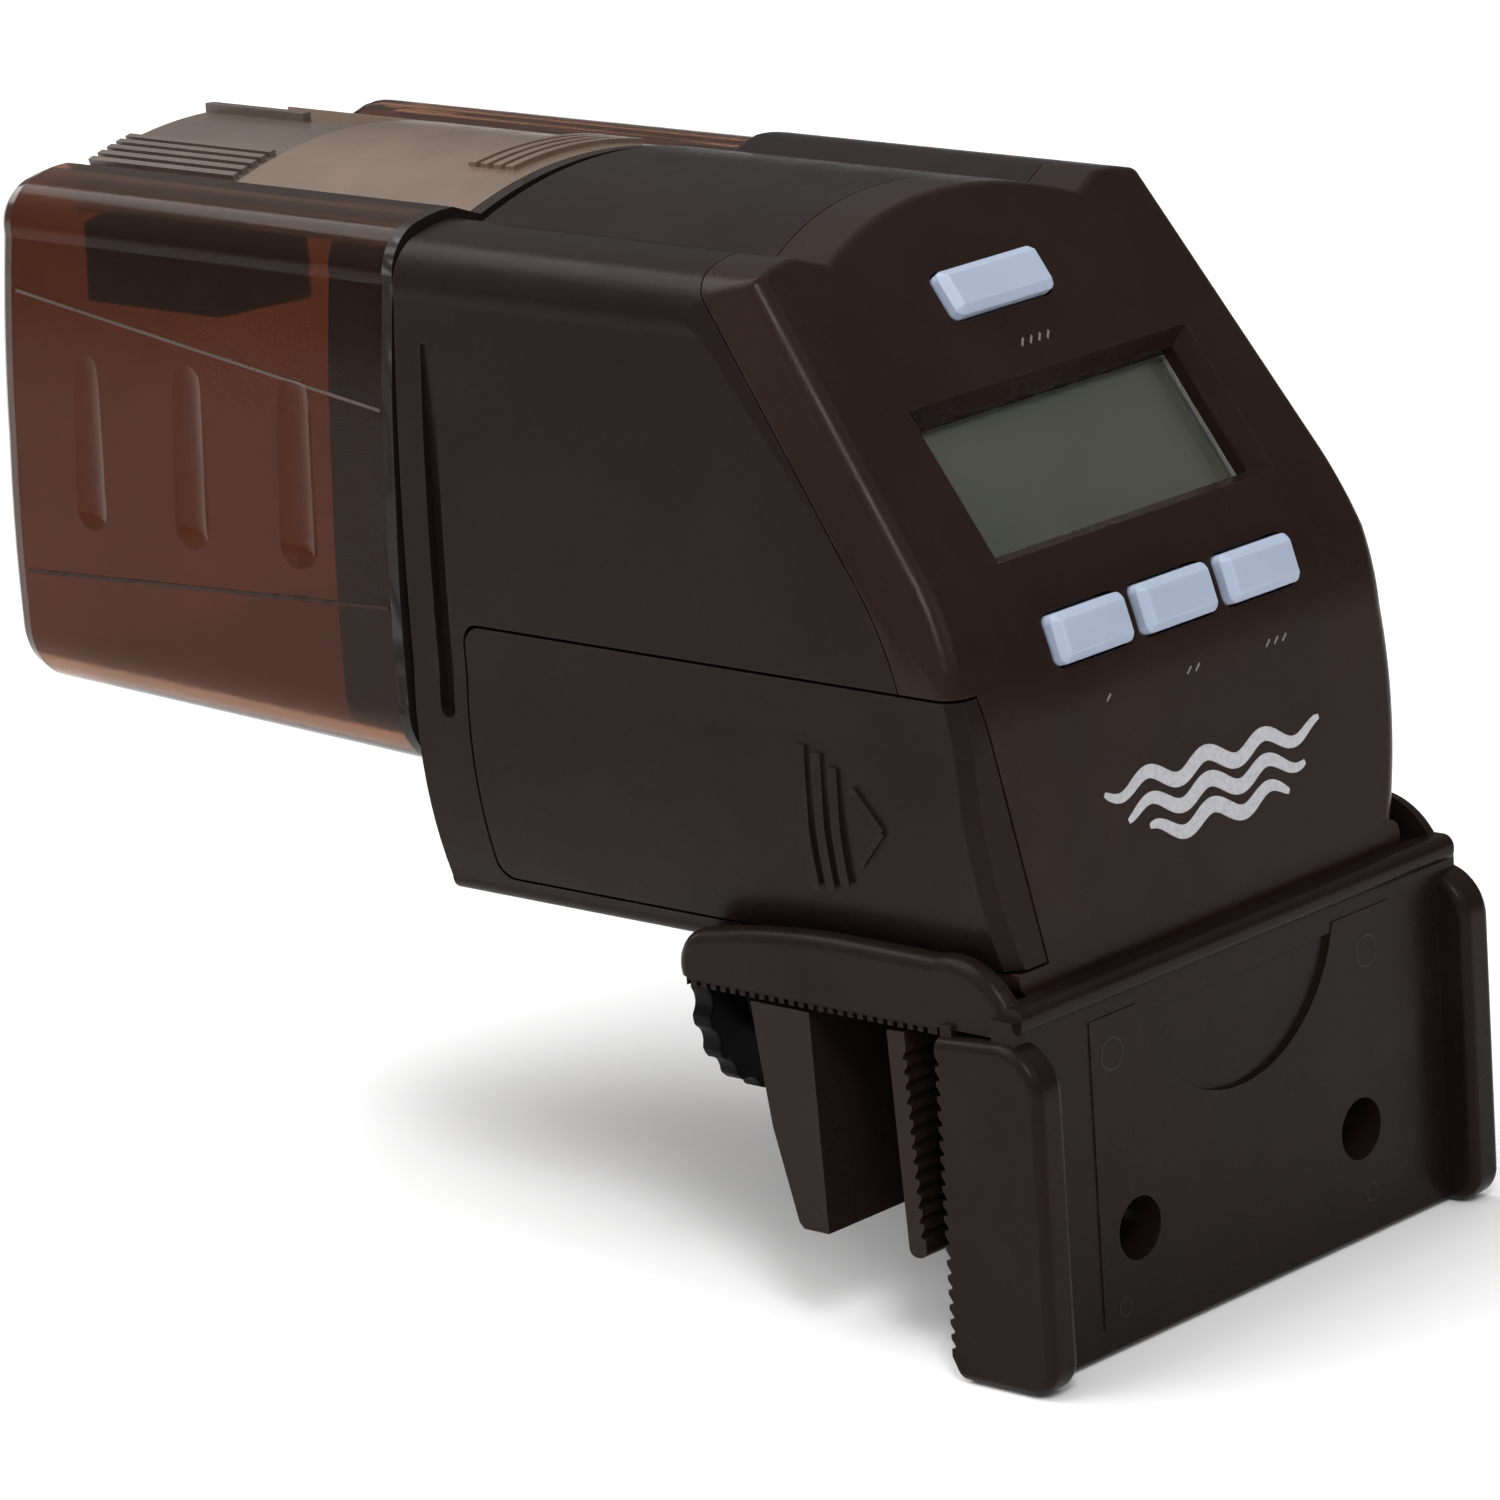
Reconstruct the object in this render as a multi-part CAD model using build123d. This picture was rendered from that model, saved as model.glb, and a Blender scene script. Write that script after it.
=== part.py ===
from build123d import *
from math import acos, atan2, cos, degrees, hypot, pi, radians, sin, sqrt, tan
import os

# Automatic aquarium feeder. Millimetres, +X to the right seen from the front,
# +Y from the control panel towards the food drum, +Z up.
# Origin: middle of the seat under the bracket tray, where the glass edge of the tank rests.

# ---------------------------------------------------------------- driving dimensions
HOUSING_Z = 3.5            # underside of the housing, on top of the tray floor
FRONT_Y = -8.5             # lower front edge of the housing
REAR_Y = 66.5              # rear face of the housing
WALL = 2.0
HALF_WIDTH = 33.0          # widest half section, at the belt
BELT_Z = 24.0              # heights above HOUSING_Z
SHOULDER_Z = 61.5
RIDGE_X, RIDGE_Z = 22.8, 68.1
VALLEY_X, VALLEY_Z = 18.9, 66.8
ARCH_Z = 70.3              # crown of the arched top
ARCH_R = (VALLEY_X**2 + (ARCH_Z - VALLEY_Z) ** 2) / (2 * (ARCH_Z - VALLEY_Z))
ARCH_CENTRE_Z = HOUSING_Z + ARCH_Z - ARCH_R

LEAN_SLOPE = 0.745         # run over rise of the sloping control panel
LEAN_Z, LEAN_Y = 40.0, 8.5     # start of the flat slope, above HOUSING_Z and behind FRONT_Y
TOE_Z, TOE_Y = 24.0, 2.6       # end of the nearly upright lower front
BEND_Z, BEND_Y = 32.0, 4.35    # middle of the bend between them
BEZEL_DEPTH = 7.0          # how far the front bezel wraps back over the sides
FRONT_ROUNDING = 2.5        # radius where the front meets the sides
ROOF_ROUNDING = 1.2         # radius where the front meets the roof
DOOR_CHAMFER = 1.4          # front corner of the battery door
SEAM = 0.2                 # visible gap between mouldings

DOOR_Z0, DOOR_Z1 = 6.2, 32.8       # battery door
DOOR_Y1 = 59.0
DOOR_FRONT_TOP_X, DOOR_FRONT_FOOT_X = -30.0, -25.4   # slanted end of the strip round the front
DOOR_GAP = 0.3

LCD_X, LCD_Z = 1.3, 50.1           # centre of the display window
LCD_W, LCD_H = 42.7, 17.3          # outer edge of the bevelled recess
LCD_BEVEL, LCD_BEVEL_DEPTH = 1.25, 2.1
BUTTON_PITCH, BUTTON_ROW_X, BUTTON_ROW_Z = 13.0, 0.7, 35.4
BUTTON_W, BUTTON_H, BUTTON_OUT = 11.0, 5.0, 1.6
FEED_BUTTON_W, FEED_BUTTON_X, FEED_BUTTON_Z = 14.8, 0.0, 64.9
BUTTON_GAP = 0.3
BUTTON_TRAVEL = 0.6

DRUM_Y0, DRUM_Y1 = 68.7, 126.6     # translucent drum
DRUM_Z0 = 11.7             # bottom of the drum above HOUSING_Z
DRUM_WALL = 1.8
DRUM_AXIS_Z = 44.4         # height of the drive shaft
CAP_FLANGE_Y = 67.3        # front of the end cap's flange
CAP_DEPTH = 9.0
DRUM_REST_TURN = 2.2       # where the drum stops at rest, degrees, left side up
LID_DROP = 2.5             # how far the drum's arch lies under the lid
LID_T = 1.9
LID_GAP = 0.3
SHUTTER_T = 1.2

TRAY_X = 34.3              # half width of the bracket tray
RIM_T = 2.0
RIM_ROUNDING = 1.5          # outer top edge of the rims
FLANGE_ROUNDING = 1.1       # front edges of the plate's flanges
LIP_PROUD = 0.7             # rolled lip in front of the plate
RIM_Z = 7.8
TRAY_REAR = 32.3
TRAY_FLOOR = 1.0           # underside of the tray floor
PLATE_Z = -34.1            # foot of the bracket's front plate
WEB_Y = -11.2              # front of the plate's web
WEB_T = 2.6
FLANGE_X = 35.8            # outer face of the plate's side flanges
FLANGE_T = 4.2
FLANGE_Y = -14.8           # front of the flanges
GRIP_Y = -2.2              # tips of the gripping teeth
TOOTH_PITCH, TOOTH_DEPTH = 1.5, 0.5
SCREW_HOLE_X, SCREW_HOLE_Z, SCREW_HOLE_R = 17.6, -22.4, 3.2
SCREW_Z = -10.9            # axis of the clamp screw
SCREW_R = 4.0
SCREW_PITCH = 2.0
KNOB_R, KNOB_Y, KNOB_T = 11.8, 49.2, 2.6
CARRIER_X = 33.6
JAW_X = 33.6
RAIL_X = 9.0               # inner face of the guide rails under the tray
RAIL_T = 2.0
RAIL_Y0 = 3.8              # front ends of the rails, clear of the glass

MODULE = 0.5
PRESSURE_ANGLE = 20.0
SHAFT_R = 3.0

os.makedirs("parts", exist_ok=True)
NODES = {}


def node(name, shape):
    """Keep one named piece for export; several solids become one compound."""
    NODES[name] = shape


def box(x0, x1, y0, y1, z0, z1):
    """A block between two corners."""
    return Pos((x0 + x1) / 2, (y0 + y1) / 2, (z0 + z1) / 2) * Box(x1 - x0, y1 - y0, z1 - z0)


def rod_y(x, z, y0, y1, r):
    """A cylinder along Y."""
    return Pos(x, (y0 + y1) / 2, z) * Rot(90, 0, 0) * Cylinder(r, y1 - y0)


def rod_z(x, y, z0, z1, r):
    """A cylinder along Z."""
    return Pos(x, y, (z0 + z1) / 2) * Cylinder(r, z1 - z0)


def rounded_bar(x0, x1, y0, y1, z0, z1, r, axis):
    """A block with the four edges along one axis rounded."""
    body = box(x0, x1, y0, y1, z0, z1)
    return fillet(body.edges().filter_by(axis), r)


def prism_y(face, y0, y1):
    """Extrude an XZ section face from y0 to y1."""
    return extrude(Pos(0, y0, 0) * face, amount=y1 - y0, dir=(0, 1, 0))


def prism_x(points, x0, x1):
    """Extrude a closed YZ outline from x0 to x1."""
    outline = Polyline(*[(0, y, z) for y, z in points], close=True)
    return extrude(Pos(x0, 0, 0) * make_face(outline), amount=x1 - x0, dir=(1, 0, 0))


def mirrored(shape):
    """The shape together with its mirror image in the middle plane."""
    return shape + mirror(shape, about=Plane.YZ)


# ---------------------------------------------------------------- outer sections
def half_section(bottom_z, corner_x, corner_z, side_z, lid_drop=0.0, narrow=1.0):
    """Right half of the outline: floor, round corner, bulged side, shoulder, valley, arch."""
    zb = HOUSING_Z

    def p(x, z):
        return (x * narrow, 0, zb + z)

    side_x = 32.6 if lid_drop or bottom_z else 29.8
    low = p(side_x, side_z)
    mid_x, mid_z = (29.35, 0.45) if not bottom_z else (30.7, bottom_z + 2.1)
    edges = [
        Line(p(0, bottom_z), p(corner_x, bottom_z)),
        ThreePointArc(p(corner_x, bottom_z), p(mid_x, mid_z), low),
    ]
    if bottom_z:
        edges.append(ThreePointArc(low, p(33.05, 30), p(HALF_WIDTH, 40)))
        edges.append(ThreePointArc(p(HALF_WIDTH, 40), p(32.75, 51), p(31.9, SHOULDER_Z)))
    else:
        edges.append(ThreePointArc(low, p(32.2, 10), p(HALF_WIDTH, BELT_Z)))
        edges.append(ThreePointArc(p(HALF_WIDTH, BELT_Z), p(32.95, 42), p(31.9, SHOULDER_Z)))
    # the ridge, valley and arch keep their width, so that the sliding lid fits all along
    ridge, valley = (RIDGE_X, 0, zb + RIDGE_Z), (VALLEY_X, 0, zb + VALLEY_Z)
    edges.append(ThreePointArc(p(31.9, SHOULDER_Z), p(30.75, 65.7), p(27.6, 67.5)))
    edges.append(ThreePointArc(p(27.6, 67.5), (25.2, 0, zb + 67.97), ridge))
    edges.append(Line(ridge, valley))
    end = valley
    if lid_drop:
        end = (VALLEY_X, 0, zb + VALLEY_Z - lid_drop)
        edges.append(Line(valley, end))
    half_x = VALLEY_X / 2
    mid_arch = ARCH_Z - ARCH_R + sqrt(ARCH_R**2 - half_x**2) - lid_drop
    crown = (0, 0, zb + ARCH_Z - lid_drop)
    edges.append(ThreePointArc(end, (half_x, 0, zb + mid_arch), crown))
    return edges


def section(*args, **kwargs):
    """Closed XZ face from the half outline and its mirror image."""
    right = Curve() + half_section(*args, **kwargs)
    left = mirror(right, about=Plane.YZ)
    return make_face(right.edges() + left.edges())


HOUSING = (0.0, 28.4, 0.0, 1.6)


def front_edges(shift):
    """Side view of the front: upright toe, bend, flat slope."""
    z0 = HOUSING_Z
    y0 = FRONT_Y + shift
    foot = (0, y0 - 1.3, z0 - 12)
    toe = (0, y0 + TOE_Y, z0 + TOE_Z)
    bend = (0, y0 + BEND_Y, z0 + BEND_Z)
    lean = (0, y0 + LEAN_Y, z0 + LEAN_Z)
    rise = 60.0
    top = (0, y0 + LEAN_Y + rise * LEAN_SLOPE, z0 + LEAN_Z + rise)
    return foot, toe, bend, lean, top


def behind_front(shift, x0=-60, x1=60):
    """Everything behind the front surface, moved back by shift."""
    foot, toe, bend, lean, top = front_edges(shift)
    far_top = (0, 200, top[2])
    far_foot = (0, 200, foot[2])
    wires = [
        Line(foot, toe),
        ThreePointArc(toe, bend, lean),
        Line(lean, top),
        Line(top, far_top),
        Line(far_top, far_foot),
        Line(far_foot, foot),
    ]
    return extrude(Pos(x0, 0, 0) * make_face(wires), amount=x1 - x0, dir=(1, 0, 0))


NORMAL = Vector(0, -1, LEAN_SLOPE).normalized()      # out of the sloping panel
UP_SLOPE = Vector(0, LEAN_SLOPE, 1).normalized()
ROW_SLOPE = 0.33                                     # local slope of the bend at the button row
ROW_NORMAL = Vector(0, -1, ROW_SLOPE).normalized()


def panel_place(x, z):
    """Location on the sloping panel at a height z, local +Z out of the panel, +Y up the slope."""
    y = FRONT_Y + LEAN_Y + (z - HOUSING_Z - LEAN_Z) * LEAN_SLOPE
    return Plane(origin=(x, y, z), x_dir=(1, 0, 0), z_dir=NORMAL).location


def row_place(x):
    """Location of one button of the lower row."""
    y = FRONT_Y + BEND_Y + (BUTTON_ROW_Z - HOUSING_Z - BEND_Z) * ROW_SLOPE
    return Plane(origin=(x, y, BUTTON_ROW_Z), x_dir=(1, 0, 0), z_dir=ROW_NORMAL).location


BUTTONS = {
    "button_feed": (panel_place(FEED_BUTTON_X, FEED_BUTTON_Z), FEED_BUTTON_W),
    "button_set": (row_place(BUTTON_ROW_X - BUTTON_PITCH), BUTTON_W),
    "button_hour": (row_place(BUTTON_ROW_X), BUTTON_W),
    "button_minute": (row_place(BUTTON_ROW_X + BUTTON_PITCH), BUTTON_W),
}


# ---------------------------------------------------------------- housing, bezel and door
def side_taper():
    """Wedges that draw the bezel's sides in towards the front, along the slope only."""
    def at(z, x, back):
        y = FRONT_Y + LEAN_Y + (z - LEAN_Z) * LEAN_SLOPE + back
        return Vector(x, y, HOUSING_Z + z)

    low, high, deep = at(40, 31.4, 0), at(62, 29.6, 0), at(40, 33.1, BEZEL_DEPTH)
    normal = (high - low).cross(deep - low).normalized()
    if normal.X < 0:
        normal = -normal
    plane = Plane(origin=low, x_dir=(high - low).normalized(), z_dir=normal)
    return mirrored(plane.location * Pos(0, 0, 15) * Box(160, 160, 30))


def on_front(point):
    """True for a point that lies on the front surface."""
    rise = point.Z - HOUSING_Z - LEAN_Z
    if rise >= -0.01:
        return abs(point.Y - (FRONT_Y + LEAN_Y + rise * LEAN_SLOPE)) < 0.05
    return point.Y < FRONT_Y + LEAN_Y + 0.1


def front_outline(body, low, high):
    """Edges where the front surface meets the sides or the roof, between two heights."""
    def runs_across(e):
        return (e @ 0).X * (e @ 1).X < 0 and (e @ 0.5).Z < RIDGE_TOP_Z

    found = [e for e in body.edges() if all(on_front(e @ t) for t in (0, 0.5, 1))]
    return [e for e in found if low < (e @ 0.5).Z < high and not runs_across(e)]


RIDGE_TOP_Z = 69.0


def sharp_solid():
    """The housing's outside before its front edges are rounded."""
    return (prism_y(section(*HOUSING), FRONT_Y - 4, REAR_Y) & behind_front(0)) - side_taper()


def housing_solid():
    body = sharp_solid()
    body = fillet(front_outline(body, 6.0, RIDGE_TOP_Z + 0.9), FRONT_ROUNDING)
    return fillet(front_outline(body, RIDGE_TOP_Z + 0.6, 90.0), ROOF_ROUNDING)


def housing_cavity():
    inner = offset(section(*HOUSING), amount=-WALL)
    return prism_y(inner, FRONT_Y - 4, REAR_Y - WALL) & behind_front(WALL * 1.2)


def door_zone(gap):
    """Space taken by the battery door on the left side, grown by a gap all round."""
    inner_x = -30.0
    side = box(-40, -25.0, FRONT_Y - 6, DOOR_Y1 + gap, DOOR_Z0 - gap, DOOR_Z1 + gap)
    deep = box(inner_x + 3.5, 0, FRONT_Y + 6.5, DOOR_Y1 + 5, -5, 60)
    top, foot = DOOR_FRONT_TOP_X + gap, DOOR_FRONT_FOOT_X + gap
    outline = [(top - 0.5, 36.4), (0, 36.4), (0, 2.0), (foot + 0.5, 2.0)]
    face = make_face(Polyline(*[(x, 0, z) for x, z in outline], close=True))
    strip = extrude(Pos(0, FRONT_Y - 6, 0) * face, amount=18, dir=(0, 1, 0))
    side = side - strip - deep
    rear = side.edges().filter_by(Axis.X).sort_by(Axis.Y)[-2:]
    return fillet(rear, 2.0)


def battery_door(shell):
    """Sliding door on the left side, from the shell whose front corner is still sharp."""
    door = shell & door_zone(0)
    corner = [e for e in front_outline(door, 6.0, 40.0) if (e @ 0).X < -29 and (e @ 1).X < -29
              and (e @ 0.5).X < -31.2 and abs((e @ 0).Z - (e @ 1).Z) > 1]
    door = chamfer(corner, DOOR_CHAMFER)
    ribs = []
    for i, (low, high) in enumerate(((11.6, 26.6), (11.9, 26.0), (12.8, 24.8))):
        y = 14.7 - 2.0 * i
        ribs.append(box(-33.5, -32.75 + 0.35, y - 0.55, y + 0.55, low, high))
    grip = Part() + ribs
    grip = grip & (prism_y(offset(section(*HOUSING), amount=0.55), -20, 70))
    chevron = Part()
    for dz in (-1, 1):
        start = Vector(0, 8.4, 19.1 + dz * 3.9)
        end = Vector(0, 5.0, 19.1)
        mid = (start + end) * 0.5
        angle = degrees(atan2(end.Z - start.Z, end.Y - start.Y))
        bar = Pos(-33.0, mid.Y, mid.Z) * Rot(angle, 0, 0) * Box(1.0, (end - start).length, 0.7)
        chevron += bar
    chevron = chevron & prism_y(offset(section(*HOUSING), amount=0.35), -20, 70)
    rails = Part()
    for z in (DOOR_Z0 + 0.8, DOOR_Z1 - 2.3):
        rails += box(-31.2, -29.9, 12, DOOR_Y1 - 1.5, z, z + 1.5)
    rails = rails & prism_y(offset(section(*HOUSING), amount=-0.6), -20, 70)
    return door + grip + chevron + rails


def lcd_recess():
    """Bevelled recess and window through the bezel."""
    place = panel_place(LCD_X, LCD_Z)
    outer = Rectangle(LCD_W, LCD_H)
    inner = Rectangle(LCD_W - 2 * LCD_BEVEL, LCD_H - 2 * LCD_BEVEL)
    funnel = loft([outer, Pos(0, 0, -LCD_BEVEL_DEPTH) * inner])
    mouth = Pos(0, 0, 0.5) * Box(LCD_W, LCD_H, 1.0)
    window = Pos(0, 0, -4) * Box(LCD_W - 2 * LCD_BEVEL - 0.01, LCD_H - 2 * LCD_BEVEL - 0.01, 8)
    return place * (funnel + mouth), place * window


def lcd_frame():
    """Pocket wall behind the recess that holds the lens."""
    place = panel_place(LCD_X, LCD_Z)
    depth = 4.6
    outer = Pos(0, 0, -depth / 2 - 1.0) * Box(LCD_W + 2.4, LCD_H + 2.4, depth - 2.0)
    return place * outer


def front_bezel(shell, solid):
    """Front moulding with the display window, the button holes and two screw lugs."""
    zone = behind_front(-10) - behind_front(BEZEL_DEPTH - SEAM)
    bezel = shell & zone
    bezel += lcd_frame() & solid
    funnel, window = lcd_recess()
    bezel = bezel - funnel - window
    for place, width in BUTTONS.values():
        hole = Box(width + 2 * BUTTON_GAP, BUTTON_H + 2 * BUTTON_GAP, 12)
        bezel -= place * fillet(hole.edges().filter_by(Axis.Z), 1.2)
    for x in BEZEL_SCREWS:
        lug = box(x - 3.5, x + 3.5, FRONT_Y + 2.0, FRONT_Y + 14.5, HOUSING_Z + 2.1, HOUSING_Z + 8.0)
        bezel += lug - rod_z(x, BEZEL_SCREW_Y, HOUSING_Z, HOUSING_Z + 7, 1.3)
    for x in (-14, 14):
        bezel += box(x - 4, x + 4, 25, 33.5, HOUSING_Z + 66.0, HOUSING_Z + 67.2) & housing_cavity()
    return bezel - door_zone(DOOR_GAP)


BEZEL_SCREWS = (-1.5, 24.0)
BEZEL_SCREW_Y = 2.5


def main_housing(shell):
    """Rear shell with its end wall, the drive bush hole and the two side grooves."""
    body = shell & behind_front(BEZEL_DEPTH)
    body -= door_zone(DOOR_GAP)
    groove = Part()
    for y in (62.0,):
        slot = box(-36, -31.9, y - 1.0, y + 1.0, 24.0, 61.0)
        groove += slot + Pos(-33.95, y, 24.0) * Rot(0, 90, 0) * Cylinder(1.0, 4.1)
    body -= mirrored(groove)
    body -= rod_y(0, DRUM_AXIS_Z, REAR_Y - 5, REAR_Y + 5, 5.0)
    for x in BEZEL_SCREWS:
        body -= rod_z(x, BEZEL_SCREW_Y, HOUSING_Z - 1, HOUSING_Z + 5, 1.6)
        body -= rod_z(x, BEZEL_SCREW_Y, HOUSING_Z - 1, HOUSING_Z + 1.2, 3.1)
    for x, z in PLATE_POSTS:
        post = rod_y(x, z, GEAR_PLATE_Y1, REAR_Y - WALL + 0.5, 2.6)
        body += post - rod_y(x, z, GEAR_PLATE_Y1 - 1, REAR_Y - WALL - 2, 0.9)
    for x, z in AXLES.values():
        body += rod_y(x, z, REAR_Y - WALL - 0.35, REAR_Y - WALL + 0.5, 2.2)
        body -= rod_y(x, z, REAR_Y - WALL - 1, REAR_Y - 0.8, 1.0)
    return body


# ---------------------------------------------------------------- drive train layout
TEETH_OUT, TEETH_BIG_2, TEETH_BIG_1 = 48, 40, 32
TEETH_PIN_2, TEETH_PIN_1, TEETH_MOTOR = 12, 12, 10
LAYER_1 = (61.0, 63.6)
LAYER_2 = (58.0, 60.4)
LAYER_3 = (55.0, 57.4)
GEAR_PLATE_Y0, GEAR_PLATE_Y1 = 52.6, 54.2
GEAR_2 = (12.4, DRUM_AXIS_Z - sqrt((MODULE * 30) ** 2 - 12.4**2))
GEAR_1 = (18.0, GEAR_2[1] - sqrt((MODULE * 26) ** 2 - (18.0 - 12.4) ** 2))
MOTOR = (12.6, GEAR_1[1] - sqrt((MODULE * 21) ** 2 - (18.0 - 12.6) ** 2))
AXLES = {"gear_2": GEAR_2, "gear_1": GEAR_1}
PLATE_POSTS = ((-14.0, 58.2), (24.5, 57.0), (26.5, 12.5), (1.4, 24.0))


def involute_gear(teeth, width, bore, add=0.75, backlash=0.16):
    """Spur gear centred on the local Z axis, one tooth centred on local +X."""
    rp = MODULE * teeth / 2
    rb = rp * cos(radians(PRESSURE_ANGLE))
    ro = rp + add * MODULE
    rr = rp - 1.2 * MODULE
    inv_p = tan(radians(PRESSURE_ANGLE)) - radians(PRESSURE_ANGLE)
    half_p = pi / (2 * teeth) - backlash / (2 * rp)

    def flank(r):
        if r <= rb:
            return half_p + inv_p
        a = acos(rb / r)
        return half_p + inv_p - (tan(a) - a)

    radii = [rr, max(rr + 0.05, rb), (max(rb, rr) + rp) / 2, rp, (rp + ro) / 2, ro]
    pts = []
    for i in range(teeth):
        c = 2 * pi * i / teeth
        for r in radii:
            pts.append((r * cos(c - flank(r)), r * sin(c - flank(r))))
        for r in reversed(radii):
            pts.append((r * cos(c + flank(r)), r * sin(c + flank(r))))
    face = make_face(Polyline(*pts, close=True))
    gear = extrude(face, amount=width)
    return gear - Pos(0, 0, width / 2) * Cylinder(bore, width + 1) if bore else gear


def gear_at(gear, x, z, y0, turn):
    """Stand a gear up on an axis along Y; turn is degrees from +X towards +Z."""
    return Pos(x, y0, z) * Rot(90, 0, 0) * Rot(0, 0, turn) * mirror(gear, about=Plane.XY)


def line_angle(a, b):
    return degrees(atan2(b[1] - a[1], b[0] - a[0]))


def mesh_turn(driver_turn, driver_teeth, a, b, teeth):
    """Turn of a gear at b so that its space meets the tooth of the gear at a."""
    line = line_angle(a, b)
    phase = (line - driver_turn) * driver_teeth / 360.0
    return line + 180.0 + (phase + 0.5) * 360.0 / teeth


def drive_train():
    centre = (0.0, DRUM_AXIS_Z)
    out_turn = 0.0
    turn_2 = mesh_turn(out_turn, TEETH_OUT, centre, GEAR_2, TEETH_PIN_2)
    turn_1 = mesh_turn(turn_2, TEETH_BIG_2, GEAR_2, GEAR_1, TEETH_PIN_1)
    turn_m = mesh_turn(turn_1, TEETH_BIG_1, GEAR_1, MOTOR, TEETH_MOTOR)
    y1, y2, y3 = LAYER_1, LAYER_2, LAYER_3
    w = y1[1] - y1[0]

    out = gear_at(involute_gear(TEETH_OUT, w, 2.45), *centre, y1[0], out_turn)
    for k in range(5):
        a = radians(72 * k)
        out -= rod_y(7.2 * cos(a), DRUM_AXIS_Z + 7.2 * sin(a), y1[0] - 1, y1[1] + 1, 2.2)
    node("output_gear", out)

    pin_2 = gear_at(involute_gear(TEETH_PIN_2, w + 0.6, 1.05, add=0.9), *GEAR_2, y1[0] - 0.6, turn_2)
    big_2 = gear_at(involute_gear(TEETH_BIG_2, y2[1] - y2[0], 1.05), *GEAR_2, y2[0], turn_2)
    node("reduction_gear_2", pin_2 + big_2)

    pin_1 = gear_at(involute_gear(TEETH_PIN_1, y2[1] - y2[0] + 0.6, 1.05, add=0.9), *GEAR_1, y2[0] - 0.6, turn_1)
    big_1 = gear_at(involute_gear(TEETH_BIG_1, y3[1] - y3[0], 1.05, add=0.6), *GEAR_1, y3[0], turn_1)
    node("reduction_gear_1", pin_1 + big_1)

    pinion = gear_at(involute_gear(TEETH_MOTOR, y3[1] - y3[0], 0.0, add=0.9), *MOTOR, y3[0], turn_m)
    shaft = rod_y(*MOTOR, GEAR_PLATE_Y0 - 4, y3[0] + 0.5, 1.0)
    node("motor_pinion", pinion + shaft)

    axles = [rod_y(x, z, GEAR_PLATE_Y0 + 0.2, REAR_Y - 0.9, 1.0) for x, z in AXLES.values()]
    node("gear_axles", Compound(children=axles))


def output_shaft():
    """Stepped shaft with a flat-sided drive dog that enters the drum's end cap."""
    z = DRUM_AXIS_Z
    shaft = rod_y(0, z, GEAR_PLATE_Y0 + 0.2, LAYER_2[0] - 3.2, 1.5)
    shaft += rod_y(0, z, LAYER_2[0] - 3.4, LAYER_1[1], 2.45)
    shaft += rod_y(0, z, LAYER_1[1], DRUM_Y0, SHAFT_R)
    dog = Box(4.2, 7.4, 4.2)
    dog = chamfer(dog.faces().sort_by(Axis.Y)[-1].edges(), 0.6)
    shaft += Pos(0, DRUM_Y0 + 3.2, z) * Rot(0, DRUM_REST_TURN, 0) * dog
    node("output_shaft", shaft)

    cam = rod_y(0, z, LAYER_2[0] - 2.8, LAYER_2[0] - 0.8, 6.5) - rod_y(0, z, 50, 64, 2.45)
    notch = Pos(-7.2, LAYER_2[0] - 1.8, z) * Box(3.2, 4, 2.6)
    node("position_cam", cam - notch)


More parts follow.
